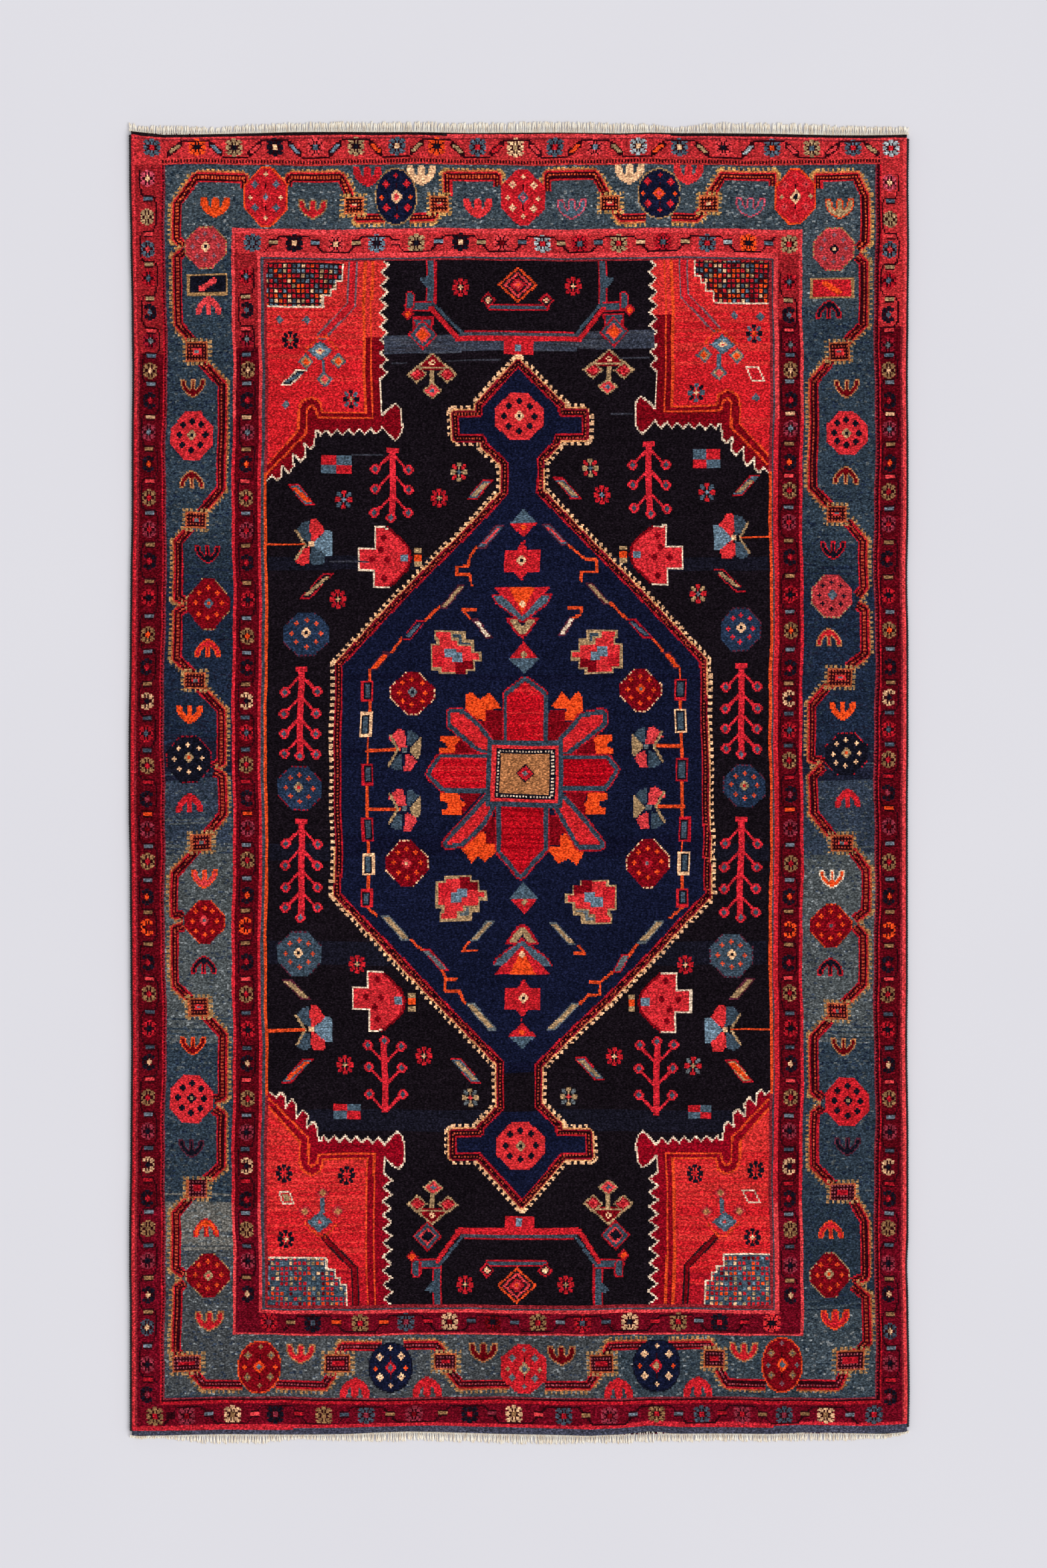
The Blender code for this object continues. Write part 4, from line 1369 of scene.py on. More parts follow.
# %% Chains of the medallion
# leaves: from x, y to x, y, width, dyes from the edge in
for row in ((-78, 272, -41, 240, 16, "mauve", "ivory"), (63, 242, 96, 273, 16, "mauve", "ivory"),
            (-82, -261, -40, -227, 18, "grey", "khaki"), (48, -231, 94, -268, 18, "grey", "khaki"),
            (-70, 388, -25, 426, 20, "mauve", "steel", "coral"),
            (36, 426, 82, 389, 20, "mauve", "steel", "coral"),
            (-130, 288, -88, 328, 16, "mauve", "khaki"), (108, 329, 153, 293, 16, "mauve", "khaki"),
            (-196, 234, -152, 268, 22, "crimson", "navy", "steel"),
            (176, 270, 224, 236, 22, "crimson", "navy", "steel"),
            (-248, 185, -212, 214, 18, "mauve", "orange"), (236, 216, 268, 188, 18, "mauve", "orange"),
            (-229, -218, -180, -258, 20, "grey", "khaki"), (243, -224, 194, -263, 20, "grey", "khaki"),
            (-163, -273, -116, -308, 20, "crimson", "grey"), (183, -281, 151, -312, 20, "crimson", "grey"),
            (-88, -361, -35, -407, 20, "grey", "khaki"), (99, -364, 45, -408, 20, "grey", "khaki")):
    leaf(*row)
for points in (((-70, 390), (-80, 374), (-82, 360), (-101, 357), (-101, 345), (-80, 346), (-77, 328)),
               ((80, 390), (108, 367), (126, 367), (126, 347), (101, 347), (102, 332)),
               ((-131, 290), (-152, 268)), ((151, 296), (178, 270)), ((-195, 237), (-212, 213)),
               ((222, 236), (238, 217)), ((-247, 187), (-249, -56), (-250, -204), (-236, -217)),
               ((266, 189), (267, -56), (270, -206), (250, -222)), ((-180, -257), (-162, -274)),
               ((195, -265), (180, -283)), ((-128, -307), (-121, -320)),
               ((-104, -322), (-121, -322), (-121, -341), (-98, -342), (-88, -362)),
               ((153, -310), (133, -327)), ((115, -328), (133, -328), (132, -349), (113, -350), (99, -364)),
               ((-70, 287), (-92, 287), (-80, 273)), ((82, 287), (104, 288), (103, 276), (92, 272)),
               ((-72, -276), (-94, -276), (-84, -262)), ((90, -281), (107, -281), (96, -268)),
               ((-249, 54), (-196, 54)), ((-249, -42), (-196, -42)), ((222, 60), (266, 60)),
               ((225, -40), (270, -40))):
    line(points, 4.2, "orange_line")
# links of the chains: x, y, tall, dye
LINKS = (
    (-251, 151, 34, "red"), (-252, 97, 40, "cream"), (-249, 15, 36, "crimson"), (-249, -76, 40, "crimson"),
    (-250, -133, 36, "cream"), (-252, -189, 30, "red"), (267, 154, 36, "red"), (267, 102, 40, "cream"),
    (267, 21, 40, "crimson"), (271, -78, 42, "crimson"), (273, -133, 38, "cream"), (270, -190, 30, "red"),
)
for x0, y0, tall, dye in LINKS:
    for inset, inner in ((0.0, dye), (3.9, "night"), (6.4, "blue_grey")):
        box(x0 - 10.2 + inset, y0 - tall / 2 + inset, x0 + 10.2 - inset, y0 + tall / 2 - inset, inner)

# round flowers: x, y, wide, tall, ground, outline, dots, eye, heart
for row in ((-177, 147, 74, 72, "maroon", "cream", "orange", "grey", "night"),
            (-186, -132, 74, 78, "maroon", "cream", "orange", "coral", "cream"),
            (201, 152, 70, 72, "maroon", "cream", "orange", "orange", "grey"),
            (213, -132, 72, 80, "maroon", "cream", "orange", "crimson", "grey")):
    rosette(*row)
print("links of the two chains:", len(LINKS))

# %% [markdown]
# Stepped flowers and small fans stand in the four quarters, drawn once and mirrored.


# %% Stepped flowers and fans of the medallion
def stepped(x0, y0, side, end, late):
    """A stepped flower in reds round a light blue heart, with a khaki outline."""
    whole = ((-34, 36), (17, 36), (17, 22), (30, 22), (30, 3), (42, 3), (42, -12), (30, -12), (30, -27),
             (18, -27), (18, -35), (-27, -35), (-27, -27), (-41, -27), (-41, 14), (-30, 14), (-30, 22),
             (-34, 22))
    for points, *dyes in ((whole, "bright_red", "khaki"),
                          (((-6, 34), (15, 34), (15, 20), (28, 20), (28, 13), (4, 13), (4, 22), (-6, 22)),
                           late, "khaki"),
                          (((-1, -34), (16, -34), (16, -26), (28, -26), (28, -11), (-1, -14)), "maroon"),
                          (((-38, -2), (-38, -25), (-18, -25), (-18, -2)), "red"),
                          (((-18, 8), (0, 8), (0, 0), (11, 0), (11, -15), (-6, -15), (-6, -8), (-18, -8)),
                           "light_blue")):
        fill(moved(points, x0, y0, side, end), *dyes)


for row in ((-105, 214, 1, 1, "blue_grey"), (129, 215, -1, 1, "blue_grey"), (-97, -190, 1, -1, "grey"),
            (120, -194, -1, -1, "grey")):
    stepped(*row)

MEDAL_FANS = (
    (((2, 4), (-2, 30), (-12, 34), (-26, 22), (-27, 16), (-16, 14), (-12, 4)), "coral"),
    (((2, 6), (2, 32), (14, 28), (22, 20), (10, 6)), "blue_grey"),
    (((6, 0), (24, 20), (25, 10), (24, -14), (18, -16)), "khaki"),
    (((2, -6), (-2, -36), (10, -36), (20, -20), (16, -14)), "coral"),
    (((-4, -8), (-4, -34), (-14, -34), (-24, -28), (-14, -10)), "blue_grey"),
)
for x0, y0, side in ((-187, 54, 1), (-187, -42, 1), (209, 59, -1), (212, -41, -1)):
    for points, dye in MEDAL_FANS:
        fill(moved(points, x0, y0, side), dye)
    line(moved(((-25, 24), (-12, 0), (-26, -24)), x0, y0, side), 4.2, "khaki")
    box(x0 - 4, y0 - 4, x0 + 4, y0 + 4, "grey")
print("lobes of each fan:", len(MEDAL_FANS))

# %% [markdown]
# The flower in the middle has eight petals round a box. Orange forks and maroon wedges fill the gaps
# between them, so they are laid first.


# %% The flower in the middle
def petal(points, core, streak):
    """A petal: its red core in a grey ring in a red one; some rows of the core take another red part way."""
    points = np.asarray(points, float)
    where, x, y = around(points, 14)
    side, _ = along(np.vstack([points, points[:1]]), x, y)
    away = np.where(in_polygon(points, x, y), -np.abs(side), np.abs(side))
    for reach, dye in ((10.6, "crimson"), (8.2, "petal_ring"), (1.4, core)):
        lay(where, away <= reach, dye)
    some = dice.random(len(x))[:, None] < 0.38
    start = dice.uniform(points[:, 0].min() - 60, points[:, 0].max(), len(x))[:, None]
    lay(where, (away <= 1.4) & some & (x > start), streak)


ORANGE_FORKS = (
    ((-88, 108), (-90, 144), (-80, 150), (-66, 138), (-50, 150), (-42, 141), (-30, 124), (-57, 121),
     (-57, 102)),
    ((50, 126), (62, 140), (69, 152), (82, 138), (98, 152), (104, 140), (104, 110), (94, 103), (73, 103),
     (76, 123)),
    ((-132, 76), (-96, 76), (-105, 61), (-105, 47), (-132, 46), (-131, 56), (-120, 58), (-122, 66),
     (-132, 68)),
    ((112, 77), (152, 80), (152, 69), (144, 66), (144, 60), (153, 57), (153, 50), (126, 49), (122, 60),
     (122, 72)),
    ((-128, -18), (-98, -18), (-95, -28), (-86, -36), (-94, -42), (-94, -54), (-127, -55), (-127, -47),
     (-117, -43), (-117, -34), (-128, -30)),
    ((112, -14), (144, -14), (143, -26), (132, -29), (132, -38), (142, -40), (140, -52), (110, -52),
     (110, -42), (104, -35), (112, -26)),
    ((-96, -107), (-80, -98), (-62, -82), (-54, -83), (-54, -102), (-28, -102), (-36, -112), (-55, -132),
     (-66, -121), (-78, -134), (-85, -120)),
    ((43, -102), (70, -103), (70, -83), (80, -82), (90, -96), (110, -107), (103, -122), (95, -134),
     (82, -122), (66, -132), (55, -118)),
)
MAROON_WEDGES = (
    ((-57, 121), (-28, 121), (-28, 72), (-45, 72), (-86, 101), (-57, 102)),
    ((48, 122), (75, 122), (73, 103), (98, 102), (60, 68), (45, 70)),
    ((-96, 75), (-60, 46), (-105, 46), (-107, 60)),
    ((80, 47), (127, 48), (122, 72), (110, 76)),
    ((-98, -18), (-60, -17), (-94, -54), (-94, -42), (-86, -36)),
    ((76, -15), (112, -14), (107, -30), (110, -52), (88, -30)),
    ((-50, -55), (-30, -58), (-28, -101), (-54, -102), (-54, -83), (-70, -76)),
    ((47, -50), (64, -52), (80, -81), (70, -83), (70, -102), (43, -101)),
)
for points in ORANGE_FORKS:
    fill(points, "orange")
for points in MAROON_WEDGES:
    fill(points, "maroon")

# petals: points, core, dye of some rows of the core
PETALS = (
    (((-103, 113), (-112, 113), (-112, 97), (-72, 62), (-56, 54), (-48, 62), (-70, 90), (-95, 112)),
     "petal_light", "red"),
    (((130, 112), (136, 112), (136, 100), (104, 76), (75, 52), (62, 58), (76, 76), (104, 108)),
     "petal_light", "red"),
    (((-50, -27), (-44, -35), (-62, -66), (-94, -98), (-116, -102), (-92, -74)), "petal_light", "red"),
    (((62, -30), (72, -27), (104, -62), (134, -100), (102, -100), (78, -58)), "petal_light", "red"),
    (((-19, 70), (37, 70), (37, 146), (9, 167), (-19, 146)), "petal_red", "petal_light"),
    (((-27, -40), (41, -40), (40, -106), (4, -150), (-27, -112)), "petal_red", "petal_deep"),
    (((-52, 38), (-52, -8), (-122, -8), (-143, 13), (-128, 38)), "petal_red", "petal_light"),
    (((71, 39), (71, -3), (138, -3), (155, 22), (142, 39)), "petal_deep", "petal_red"),
)
for row in PETALS:
    petal(*row)
box(-55, -41, 72, 71, "petal_ring")
box(-45.5, -31, 64, 63.5, "bright_red")
box(-39.5, -25, 58, 57.5, "night")
line([(-35.3, -21), (54, -21), (54, 53.5), (-35.3, 53.5), (-35.3, -21)], 2.7, "ivory", dash=5.3)
box(-31, -17, 50, 49.5, "tan")
lozenge(9, 17, 32, 32, "night", "red", "crimson", "grey", step=3.6)

# faint streaks in the field: x from, x to, y
for left, right, y0 in ((-210, -185, 694), (-118, -30, 696), (-276, -224, 541), (-312, -248, 364),
                        (165, 215, 701), (152, 190, 611)):
    box(left, y0 - 1.5, right, y0 + 1.5, "streak")

print("dyes used:", len(np.unique(chart)))

# %% [markdown]
# ## From chart to cloth
# Half a million knots would be too many faces, so neighbouring knots of one dye become one face. Each row
# of the chart is read as runs of one dye, and a run that repeats in the next row grows upwards. Every
# corner that touches a neighbour's side is added to that side, so the cloth has no holes and no loose
# edges.


# %% Runs of one dye, joined into rectangles
def rectangles(codes, first_knot, first_row, widest, tallest):
    """Rectangles of one dye: left, right, bottom, top and dye, in knots and rows of the whole chart."""
    rows, knots = codes.shape
    done, live = [], {}
    for row in range(rows + 1):
        now = {}
        if row < rows:
            line_of = codes[row]
            cuts = set(np.flatnonzero(np.diff(line_of)) + 1) | {0, 1, knots - 1, knots}
            cuts = sorted(cuts | set(range(0, knots, widest)))
            for left, right in zip(cuts[:-1], cuts[1:]):
                dye = int(line_of[left])
                if dye < 0:
                    continue
                key = (left, right, dye)
                fresh = row in (1, rows - 1) or row % tallest == 0 or key not in live
                now[key] = row if fresh else live[key]
                if fresh and key in live:
                    done.append((left, right, live[key], row, dye))
        for key, bottom in live.items():
            if key not in now:
                done.append((key[0], key[1], bottom, row, key[2]))
        live = now
    return [(left + first_knot, right + first_knot, bottom + first_row, top + first_row, dye)
            for left, right, bottom, top, dye in done]


def faces_of(rects, more_corners=()):
    """One face for each rectangle, with every corner on its sides, and the corners' places in the chart."""
    corners = {(i, j) for left, right, bottom, top, _ in rects for i in (left, right) for j in (bottom, top)}
    corners |= set(more_corners)
    on_row, on_column = {}, {}
    for i, j in corners:
        on_row.setdefault(j, []).append(i)
        on_column.setdefault(i, []).append(j)
    on_row = {j: np.sort(places) for j, places in on_row.items()}
    on_column = {i: np.sort(places) for i, places in on_column.items()}
    number = {corner: n for n, corner in enumerate(sorted(corners))}

    def between(places, low, high):
        return places[np.searchsorted(places, low):np.searchsorted(places, high)]

    faces = []
    for left, right, bottom, top, _ in rects:
        face = [number[i, bottom] for i in between(on_row[bottom], left, right)]
        face += [number[right, j] for j in between(on_column[right], bottom, top)]
        face += [number[i, top] for i in between(on_row[top], left + 1, right + 1)[::-1]]
        face += [number[left, j] for j in between(on_column[left], bottom + 1, top + 1)[::-1]]
        faces.append(face)
    return faces, number


def rim(number, left, right, bottom, top):
    """The corners along a rectangle's outline, in order, seen from above anticlockwise."""
    ring = sorted((i, j) for i, j in number if j == bottom and left <= i < right)
    ring += sorted((i, j) for i, j in number if i == right and bottom <= j < top)
    ring += sorted(((i, j) for i, j in number if j == top and left < i <= right), reverse=True)
    ring += sorted(((i, j) for i, j in number if i == left and bottom < j <= top), reverse=True)
    return ring


# %% [markdown]
# Knots tied by hand don't line up like tiles. Warps and wefts sway by a millimetre or two, and each knot
# strays a little from its place, which keeps the outlines of the motifs soft, as in wool. The rim follows
# the wandering edges of the rug.

# %% Places of the corners
FOUNDATION_TOP = 0.0034
PILE_FOOT = 0.0035
EDGE_FADE_ACROSS, EDGE_FADE_ALONG = 0.150, 0.060     # how far in the wandering edges still bend the rows
KNOT_WANDER = (0.0006, 0.0005)                       # the most that a corner strays, across and along
OVERHANG, OVERHANG_FADE = 0.0024, 0.012              # how far the pile spreads over the cords, from where
# waves of a warp or a weft: length and height in metres, and the turn of phase in a metre aside
SWAYS = ((0.37, 0.0014, 7.0), (0.122, 0.0006, 19.0))
SWAY_FADE = 0.030            # how far in from an edge the sway begins


def fade(away, reach):
    """1 at an edge and 0 from a reach inwards."""
    share = np.clip(1 - away / reach, 0.0, 1.0)
    return share * share * (3.0 - 2.0 * share)


def sway(run, aside):
    """How far a warp or a weft strays at a place along it; its neighbours a hand away stray otherwise."""
    return sum(height * np.sin(2 * np.pi * run / length + turn * aside) for length, height, turn in SWAYS)


def stray(i, j, seed):
    """A number from -1 to 1 that is always the same for the same corner."""
    value = np.sin(i * 12.9898 + j * 78.233 + seed) * 43758.5453
    return 2 * (value - np.floor(value)) - 1


def place(i, j, height, round_rim=False, held=()):
    """Where a corner of the chart lies on the rug; the pile's tips fall away at the rim."""
    i, j = np.asarray(i, float), np.asarray(j, float)
    x = (CHART_LEFT + KNOT * i) / 1000
    y = (CHART_LOW + ROW * j) / 1000
    inset = SIDE_CORD_DIAMETER + SEAM_GAP
    left = -RUG_WIDTH / 2 + eased(SIDE_EDGES_MM, 1, y) + inset
    right = RUG_WIDTH / 2 - eased(SIDE_EDGES_MM, 2, y) - inset
    loose = np.ones(x.shape)
    for left_knot, right_knot, low_row, high_row in held:
        apart = np.maximum(np.maximum(left_knot - i, i - right_knot), np.maximum(low_row - j, j - high_row))
        loose = loose * (np.abs(apart) > 0.5)
    inside = np.minimum(np.minimum(i, KNOTS_ALL - i) * KNOT, np.minimum(j, ROWS_ALL - j) * ROW) / 1000
    calm = 1 - fade(inside, SWAY_FADE)
    x, y = x + calm * sway(y, x), y + calm * sway(x, y + 0.5)
    x = (x + (left - CHART_LEFT / 1000) * fade(x - CHART_LEFT / 1000, EDGE_FADE_ACROSS)
         + (right - CHART_RIGHT / 1000) * fade(CHART_RIGHT / 1000 - x, EDGE_FADE_ACROSS)
         + KNOT_WANDER[0] * stray(i, j, 0.0) * loose)
    if round_rim:
        x = x + OVERHANG * (fade(KNOT * (KNOTS_ALL - i) / 1000, OVERHANG_FADE)
                            - fade(KNOT * i / 1000, OVERHANG_FADE))
    low = -(PILE_END_REACH - eased(END_EDGES_MM, 2, x))
    high = PILE_END_REACH - eased(END_EDGES_MM, 1, x)
    y = (y + (low - CHART_LOW / 1000) * fade(y - CHART_LOW / 1000, EDGE_FADE_ALONG)
         + (high - CHART_HIGH / 1000) * fade(CHART_HIGH / 1000 - y, EDGE_FADE_ALONG)
         + KNOT_WANDER[1] * stray(i, j, 5.0) * loose)
    z = np.full(x.shape, height)
    if round_rim:
        z = z + cockle_rise(x, y)
        away = np.minimum(np.minimum(i, KNOTS_ALL - i) * KNOT, np.minimum(j, ROWS_ALL - j) * ROW) / 1000
        near = np.clip(1 - away / PILE_EDGE_ROUND, 0, 1)
        z = z - PILE_EDGE_ROUND * (1 - np.sqrt(1 - near ** 2))
    return np.stack([x, y, z], axis=-1)


# %% [markdown]
# A piece of cloth is closed: a patterned side, a plain one opposite, and walls along its outline. The
# colour is kept with the corners of each face, and a flat map is made at once, for baking the dyes into a
# picture.


# %% A closed piece of cloth
PATTERN_SPAN, PLAIN_SPAN = 20, 40                    # the most knots or rows that one face takes in
MAP_FRAME = 0.006                                    # width of the walls in the map


def add_cloth(name, codes, first_knot, first_row, foot, head, pattern_up, windows=(), coarse=1):
    """A closed piece of cloth: a face for each rectangle of one dye, a plain side opposite, and walls."""
    rows, knots = codes.shape
    frames = [(first_knot, first_knot + knots, first_row, first_row + rows)] + list(windows)
    patterned = rectangles(codes, first_knot, first_row, PATTERN_SPAN, PATTERN_SPAN)
    faces, number = faces_of(patterned)
    rings = [rim(number, *box_of) for box_of in frames]
    plain = rectangles(np.where(codes < 0, -1, 0), first_knot, first_row, PLAIN_SPAN, PLAIN_SPAN)
    plain_faces, plain_number = faces_of(plain, {corner for ring in rings for corner in ring})

    order = np.array(sorted(number, key=number.get))
    plain_order = np.array(sorted(plain_number, key=plain_number.get))
    patterned_z, plain_z = (head, foot) if pattern_up else (foot, head)
    held = [frames[0], (0, KNOTS_ALL, 0, ROWS_ALL)] + list(windows)
    points = np.vstack([place(*order.T * coarse, patterned_z, pattern_up, held),
                        place(*plain_order.T * coarse, plain_z, False, held)])
    shift = len(order)
    walls = []
    for ring, outer in zip(rings, [True] + [False] * len(windows)):
        for here, there in zip(ring, ring[1:] + ring[:1]):
            wall = [number[here], shift + plain_number[here], shift + plain_number[there], number[there]]
            walls.append(wall if outer == pattern_up else wall[::-1])
    plain_faces = [[shift + corner for corner in face] for face in plain_faces]
    all_faces = [face if pattern_up else face[::-1] for face in faces]
    all_faces += [face[::-1] if pattern_up else face for face in plain_faces] + walls

    mesh = bpy.data.meshes.new(name)
    mesh.from_pydata(points.tolist(), [], all_faces)
    piece = bpy.data.objects.new(name, mesh)
    bpy.context.scene.collection.objects.link(piece)

    # the dye of every knot, kept with the corners of its face
    palette = np.array([linear(colour) + [1.0] for colour in DYES.values()])
    dye_of = {corner: dye for (*_, dye), face in zip(patterned, faces) for corner in face}
    per_face = [dye for *_, dye in patterned] + [int(codes.max())] * len(plain_faces)
    per_face += [dye_of[wall[0] if wall[0] < shift else wall[-1]] for wall in walls]
    counts = np.array([len(face) for face in all_faces])
    colours = palette[np.repeat(per_face, counts)]
    attribute = mesh.color_attributes.new(name="dye", type="FLOAT_COLOR", domain="CORNER")
    attribute.data.foreach_set("color", colours.ravel().astype(np.float32))

    # a flat map for the bake: the pattern, the walls just outside it, and the plain side in a thin strip
    uv = mesh.uv_layers.new(name="OFBake")
    low = np.array([frames[0][0], frames[0][2]], float)
    span = np.array([knots, rows], float)
    flat = np.vstack([0.02 + 0.93 * (order - low) / span,
                      np.array([0.02, 0.962]) + np.array([0.93, 0.03]) * (plain_order - low) / span])
    loops = np.concatenate([np.array(face) for face in all_faces])
    spread = flat[loops]
    wall_from = counts[:-len(walls)].sum()
    at = wall_from
    for ring, outer in zip(rings, [True] + [False] * len(windows)):
        for here, there in zip(ring, ring[1:] + ring[:1]):
            ends = flat[[number[here], number[there]]]
            along_wall = ends[1] - ends[0]
            out = np.array([along_wall[1], -along_wall[0]])
            out = out / np.hypot(*out) * (MAP_FRAME if outer else -MAP_FRAME)
            corners_uv = [ends[0], ends[0] + out, ends[1] + out, ends[1]]
            spread[at:at + 4] = corners_uv if outer == pattern_up else corners_uv[::-1]
            at += 4
    uv.data.foreach_set("uv", spread.ravel())
    mesh.validate()
    triangles = int(counts.sum() - 2 * len(counts))
    print(name, len(patterned), "faces of one dye,", triangles, "triangles")
    return piece


# %% [markdown]
# The foundation is the flat woven cloth that the knots are tied on. Its underside shows the same pattern
# more coarsely, so it is knotted here from every third knot of the chart. The pile stands on it in two
# pieces, the field and the border, which meet along the field's red line.

# %% Knot the pile and the foundation
field_left, field_right = np.searchsorted(knot_x, (-430.0, 428.5))
field_bottom, field_top = np.searchsorted(row_y, (-873.0, 872.0))
border_codes = chart.copy()
border_codes[field_bottom:field_top, field_left:field_right] = -1
pile_field = add_cloth("pile_field", chart[field_bottom:field_top, field_left:field_right], field_left,
                       field_bottom, PILE_FOOT, PILE_THICKNESS, True)
pile_border = add_cloth("pile_border", border_codes, 0, 0, PILE_FOOT, PILE_THICKNESS, True,
                        [(field_left, field_right, field_bottom, field_top)])
foundation = add_cloth("foundation", chart[1::3, 1::3], 0, 0, 0.0, FOUNDATION_TOP, False, coarse=3)

# %% [markdown]
# ## Wool, dyed in the yarn
# Each knot takes its dye from the chart. On the real rug no two batches of yarn are quite alike, so the
# colour changes a little from knot to knot and in faint rows, and the tips of the pile catch the light
# unevenly: that light and shade on the tips is painted into the colour here.


# %% Wool pile: hand-spun wool, knotted and sheared
WOOL_SHADE = -0.14           # doublings of light that the hollows between the tufts take from every dye


def wool(name, contrast, height_mm, roughness):
    """Dyed wool: painted light and shade on the tips, lighter and darker knots, faint rows and clouds, and a
    soft uneven surface.
    """
    material = bpy.data.materials.new(name)
    material.use_nodes = True
    tree = material.node_tree
    tree.nodes.clear()
    dye = node(tree, "ShaderNodeAttribute", attribute_name="dye").outputs["Color"]
    where = node(tree, "ShaderNodeTexCoord").outputs["Object"]

    def noise(sizes_mm, detail, low, high):
        """Noise with grains of a size across and along the rug, stretched to 0..1."""
        scale = [1000 / size for size in sizes_mm] + [120.0]
        sized = node(tree, "ShaderNodeVectorMath", {0: where, 1: scale}, operation="MULTIPLY")
        grains = node(tree, "ShaderNodeTexNoise", {"Vector": sized.outputs[0], "Scale": 1.0,
                                                   "Detail": detail, "Roughness": 0.6})
        return node(tree, "ShaderNodeMapRange", {"Value": grains.outputs["Fac"], "From Min": low,
                                                 "From Max": high}).outputs["Result"]

    # grains of a size across and along: painted light and shade on the tips of the tufts, rows of the weave,
    # clouds; a knot is one cell
    tips = noise((3.8, 2.0), 2.0, 0.30, 0.70)
    rows = noise((90.0, 5.0), 3.0, 0.30, 0.70)
    clouds = noise((160.0, 110.0), 2.0, 0.30, 0.70)
    one_knot = (KNOT / 1000, ROW / 1000, 1.0)
    cell = node(tree, "ShaderNodeVectorMath", {0: where, 1: one_knot}, operation="SNAP")
    each = node(tree, "ShaderNodeTexWhiteNoise", {"Vector": cell.outputs[0]}, noise_dimensions="3D")
    knots = each.outputs["Value"]
    # each adds or takes so many doublings of the light that comes back
    doublings = node(tree, "ShaderNodeValue")
    doublings.outputs[0].default_value = WOOL_SHADE
    for source, spread in ((tips, 2.7), (knots, 1.2), (rows, 0.45), (clouds, 0.30)):
        centred = node(tree, "ShaderNodeMath", {0: source, 1: spread * contrast, 2: -spread * contrast / 2},
                       operation="MULTIPLY_ADD")
        doublings = node(tree, "ShaderNodeMath", {0: doublings.outputs[0], 1: centred.outputs[0]},
                         operation="ADD")
    value = node(tree, "ShaderNodeMath", {0: 2.0, 1: doublings.outputs[0]}, operation="POWER")
    varied = node(tree, "ShaderNodeVectorMath", {0: dye, "Scale": value.outputs[0]}, operation="SCALE")
    height = node(tree, "ShaderNodeMath", {0: rows, 1: 0.5, 2: tips}, operation="MULTIPLY_ADD")
    bump = node(tree, "ShaderNodeBump", {"Height": height.outputs[0], "Strength": 0.6,
                                         "Distance": height_mm / 1000})
    shader = node(tree, "ShaderNodeBsdfPrincipled", {"Base Color": varied.outputs[0],
                                                     "Normal": bump.outputs[0], "Roughness": roughness,
                                                     "Specular IOR Level": 0.02})
    node(tree, "ShaderNodeOutputMaterial", {"Surface": shader.outputs[0]})
    return material


pile_wool = wool("hand-knotted wool pile", 1.0, 0.8, 0.95)
back_wool = wool("wool knots on cotton, from the back", 0.8, 0.5, 0.95)
for piece, material in ((pile_field, pile_wool), (pile_border, pile_wool), (foundation, back_wool)):
    piece.data.materials.append(material)
print("materials:", pile_wool.name, "and", back_wool.name)

# %% [markdown]
# ## The overcast edges
# The outermost warps are wrapped with near-black wool into a round cord. One turn of the wrap is a short
# barrel with rounded shoulders, leaning a little, and its copies follow the edge one behind the other.

# %% One turn of the overcast wrap
WRAP_PITCH = 0.0040
WRAP_OVERLAP = 1.12          # length of a turn, in pitches
WRAP_SHOULDER = 0.0011
WRAP_LEAN = 14               # degrees


def deselect_all():
    bpy.ops.object.select_all(action="DESELECT")


deselect_all()
bpy.ops.mesh.primitive_cylinder_add(vertices=10, radius=SIDE_CORD_DIAMETER / 2,
                                    depth=WRAP_PITCH * WRAP_OVERLAP, rotation=(np.pi / 2, 0.0, 0.0))
turn = bpy.context.object
turn.name = "wrap_turn"
bpy.ops.object.transform_apply(location=True, rotation=True, scale=True)
bpy.ops.object.mode_set(mode="EDIT")
bpy.ops.mesh.select_mode(type="FACE")
bpy.ops.mesh.select_all(action="DESELECT")
bm = bmesh.from_edit_mesh(turn.data)
for face in bm.faces:
    face.select_set(abs(face.normal.y) > 0.9)
bm.select_flush_mode()
bmesh.update_edit_mesh(turn.data)
bpy.ops.mesh.bevel(offset=WRAP_SHOULDER, segments=1, affect="EDGES")
bpy.ops.mesh.select_all(action="SELECT")
bpy.ops.transform.rotate(value=np.radians(WRAP_LEAN), orient_axis="Z", center_override=(0.0, 0.0, 0.0))
bpy.ops.object.mode_set(mode="OBJECT")
print("one turn:", len(turn.data.vertices), "corners")

# %% [markdown]
# A cord has over five hundred turns, too many to place by hand. One function gathers many copies of a
# model in one mesh, each moved by a rule of its own. The cords and the fringe both use it.


# %% Many copies in one piece
def copies(model, placed):
    """The corners and faces of many copies; placed gives the corners of each from those of the model."""
    corners = np.array([vertex.co[:] for vertex in model.data.vertices])
    faces = [list(face.vertices) for face in model.data.polygons]
    points = np.vstack([move(corners) for move in placed])
    shifted = [[corner + number * len(corners) for corner in face] for number in range(len(placed))
               for face in faces]
    return points, shifted


def add_piece(name, points, faces, material):
    """A piece from its corners and faces, with one material."""
    mesh = bpy.data.meshes.new(name)
    mesh.from_pydata(np.asarray(points).tolist(), [], faces)
    mesh.validate()
    piece = bpy.data.objects.new(name, mesh)
    bpy.context.scene.collection.objects.link(piece)
    mesh.materials.append(material)
    return piece
